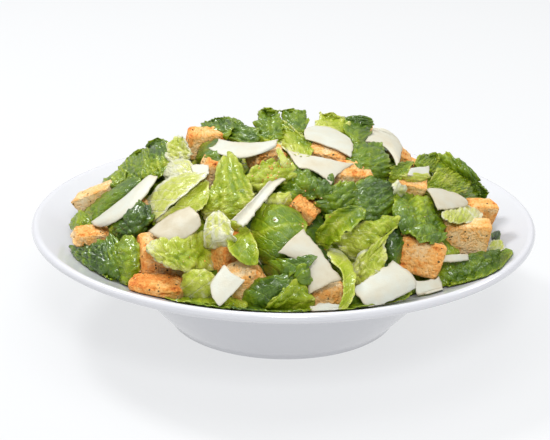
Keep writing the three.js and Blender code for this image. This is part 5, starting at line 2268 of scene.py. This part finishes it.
CROUTONS = (
    Crouton((205.5, 142), (21.5, 16, 14), 12, 4, -2, 9, toast=0.46),
    Crouton((95, 196), (25, 14, 8), -16, 4, -24, 3, toast=0.26),
    Crouton((92, 235), (20, 15, 7), 12, 4, 2, 2, wear=0.4, toast=0.36, rough=1.5),
    Crouton((163, 257), (25, 22, 21), 10, 4, 3, 10),
    Crouton((157, 289), (27.5, 16, 11.5), -8, 6, 4, 3, wear=0.62, toast=0.5, rough=1.7),
    Crouton((213, 174), (13, 16, 18), 16, 4, 14, 10, wear=0.3, toast=0.5, rough=1.6),
    Crouton((268, 158.5), (19, 13, 11), 24, 10, 10, 9, wear=0.3, toast=0.42, rough=2.2),
    Crouton((329, 154), (21, 18, 10), -12, 14, 10, 6),
    Crouton((350.5, 175.5), (20, 13, 10), 18, 20, 8, 5),
    Crouton((299.5, 214.5), (13.5, 14, 16), -18, 4, 34, 8, wear=0.3, toast=0.46, rough=1.6),
    Crouton((397.5, 161.5), (13, 13, 13), 10, 8, 44, 28),
    Crouton((411, 187), (15, 14, 9), -10, 6, 8, 8),
    Crouton((465, 239), (24, 15, 19), -4, -8, 1, 6, toast=0.42),
    Crouton((418.5, 256), (24, 16, 19), 6, -12, 18, 7, toast=0.4),
    Crouton((479, 213), (15.5, 13, 14), 12, 6, 6, 7),
    Crouton((230, 253), (20, 20, 23), 36, -6, 10, 13, toast=0.62),
    Crouton((247, 282), (19, 18, 19), 16, 12, -28, 6, wear=0.32, toast=0.46, rough=1.6),
    Crouton((325, 294), (19, 16, 12), 12, 6, -10, 4, toast=0.3),
    Crouton((136, 213), (15, 14, 9), 24, 0, -22, 10),
    Crouton((40, 60), (23, 20, 18), 24, -12, 10, 7, plan=True),
    Crouton((-44, 88), (21, 22, 19), 52, -10, -14, 9, plan=True),
    Crouton((72, 80), (22, 19, 18), -16, -18, 12, 10, plan=True),
    Crouton((-30, 103), (24, 20, 18), 8, -24, 4, 3, plan=True),
    Crouton((-88, 64), (20, 21, 17), 34, -8, -18, 9, plan=True),
    Crouton((22, 106), (21, 20, 18), 40, -16, 14, 3, plan=True),
)

CRUMB_SPOTS = (
    ((268, 170), (10, 5), 30),
    ((302, 214), (14, 14), 8),
    ((160, 275), (24, 14), 8),
    ((340, 180), (90, 40), 16),
)

SOFTBOXES = (
    Softbox("key", 13.8, 0.34, (-0.75, 0.55, 1.25)),
    Softbox("front", 14.2, 0.45, (0.1, -1.25, 1.25)),
    Softbox("side", 2.9, 0.4, (1.1, 0.35, 0.9)),
    Softbox("top", 9.2, 1.1, (0.0, 0.1, 1.6)),
)


def main() -> None:
    """Builds the salad in order."""
    logging.basicConfig(level=logging.INFO)
    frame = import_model()
    pieces = [Plate().build(), *Romaine().build(), Croutons().build(), Shavings().build()]
    floor = Stage().build()
    pieces += Crumbs().build([floor, *frame["nodes"].values()])
    for piece in pieces:
        LOG.info("%s: %d faces", piece.name, len(piece.data.polygons))


if __name__ == "__main__":
    main()
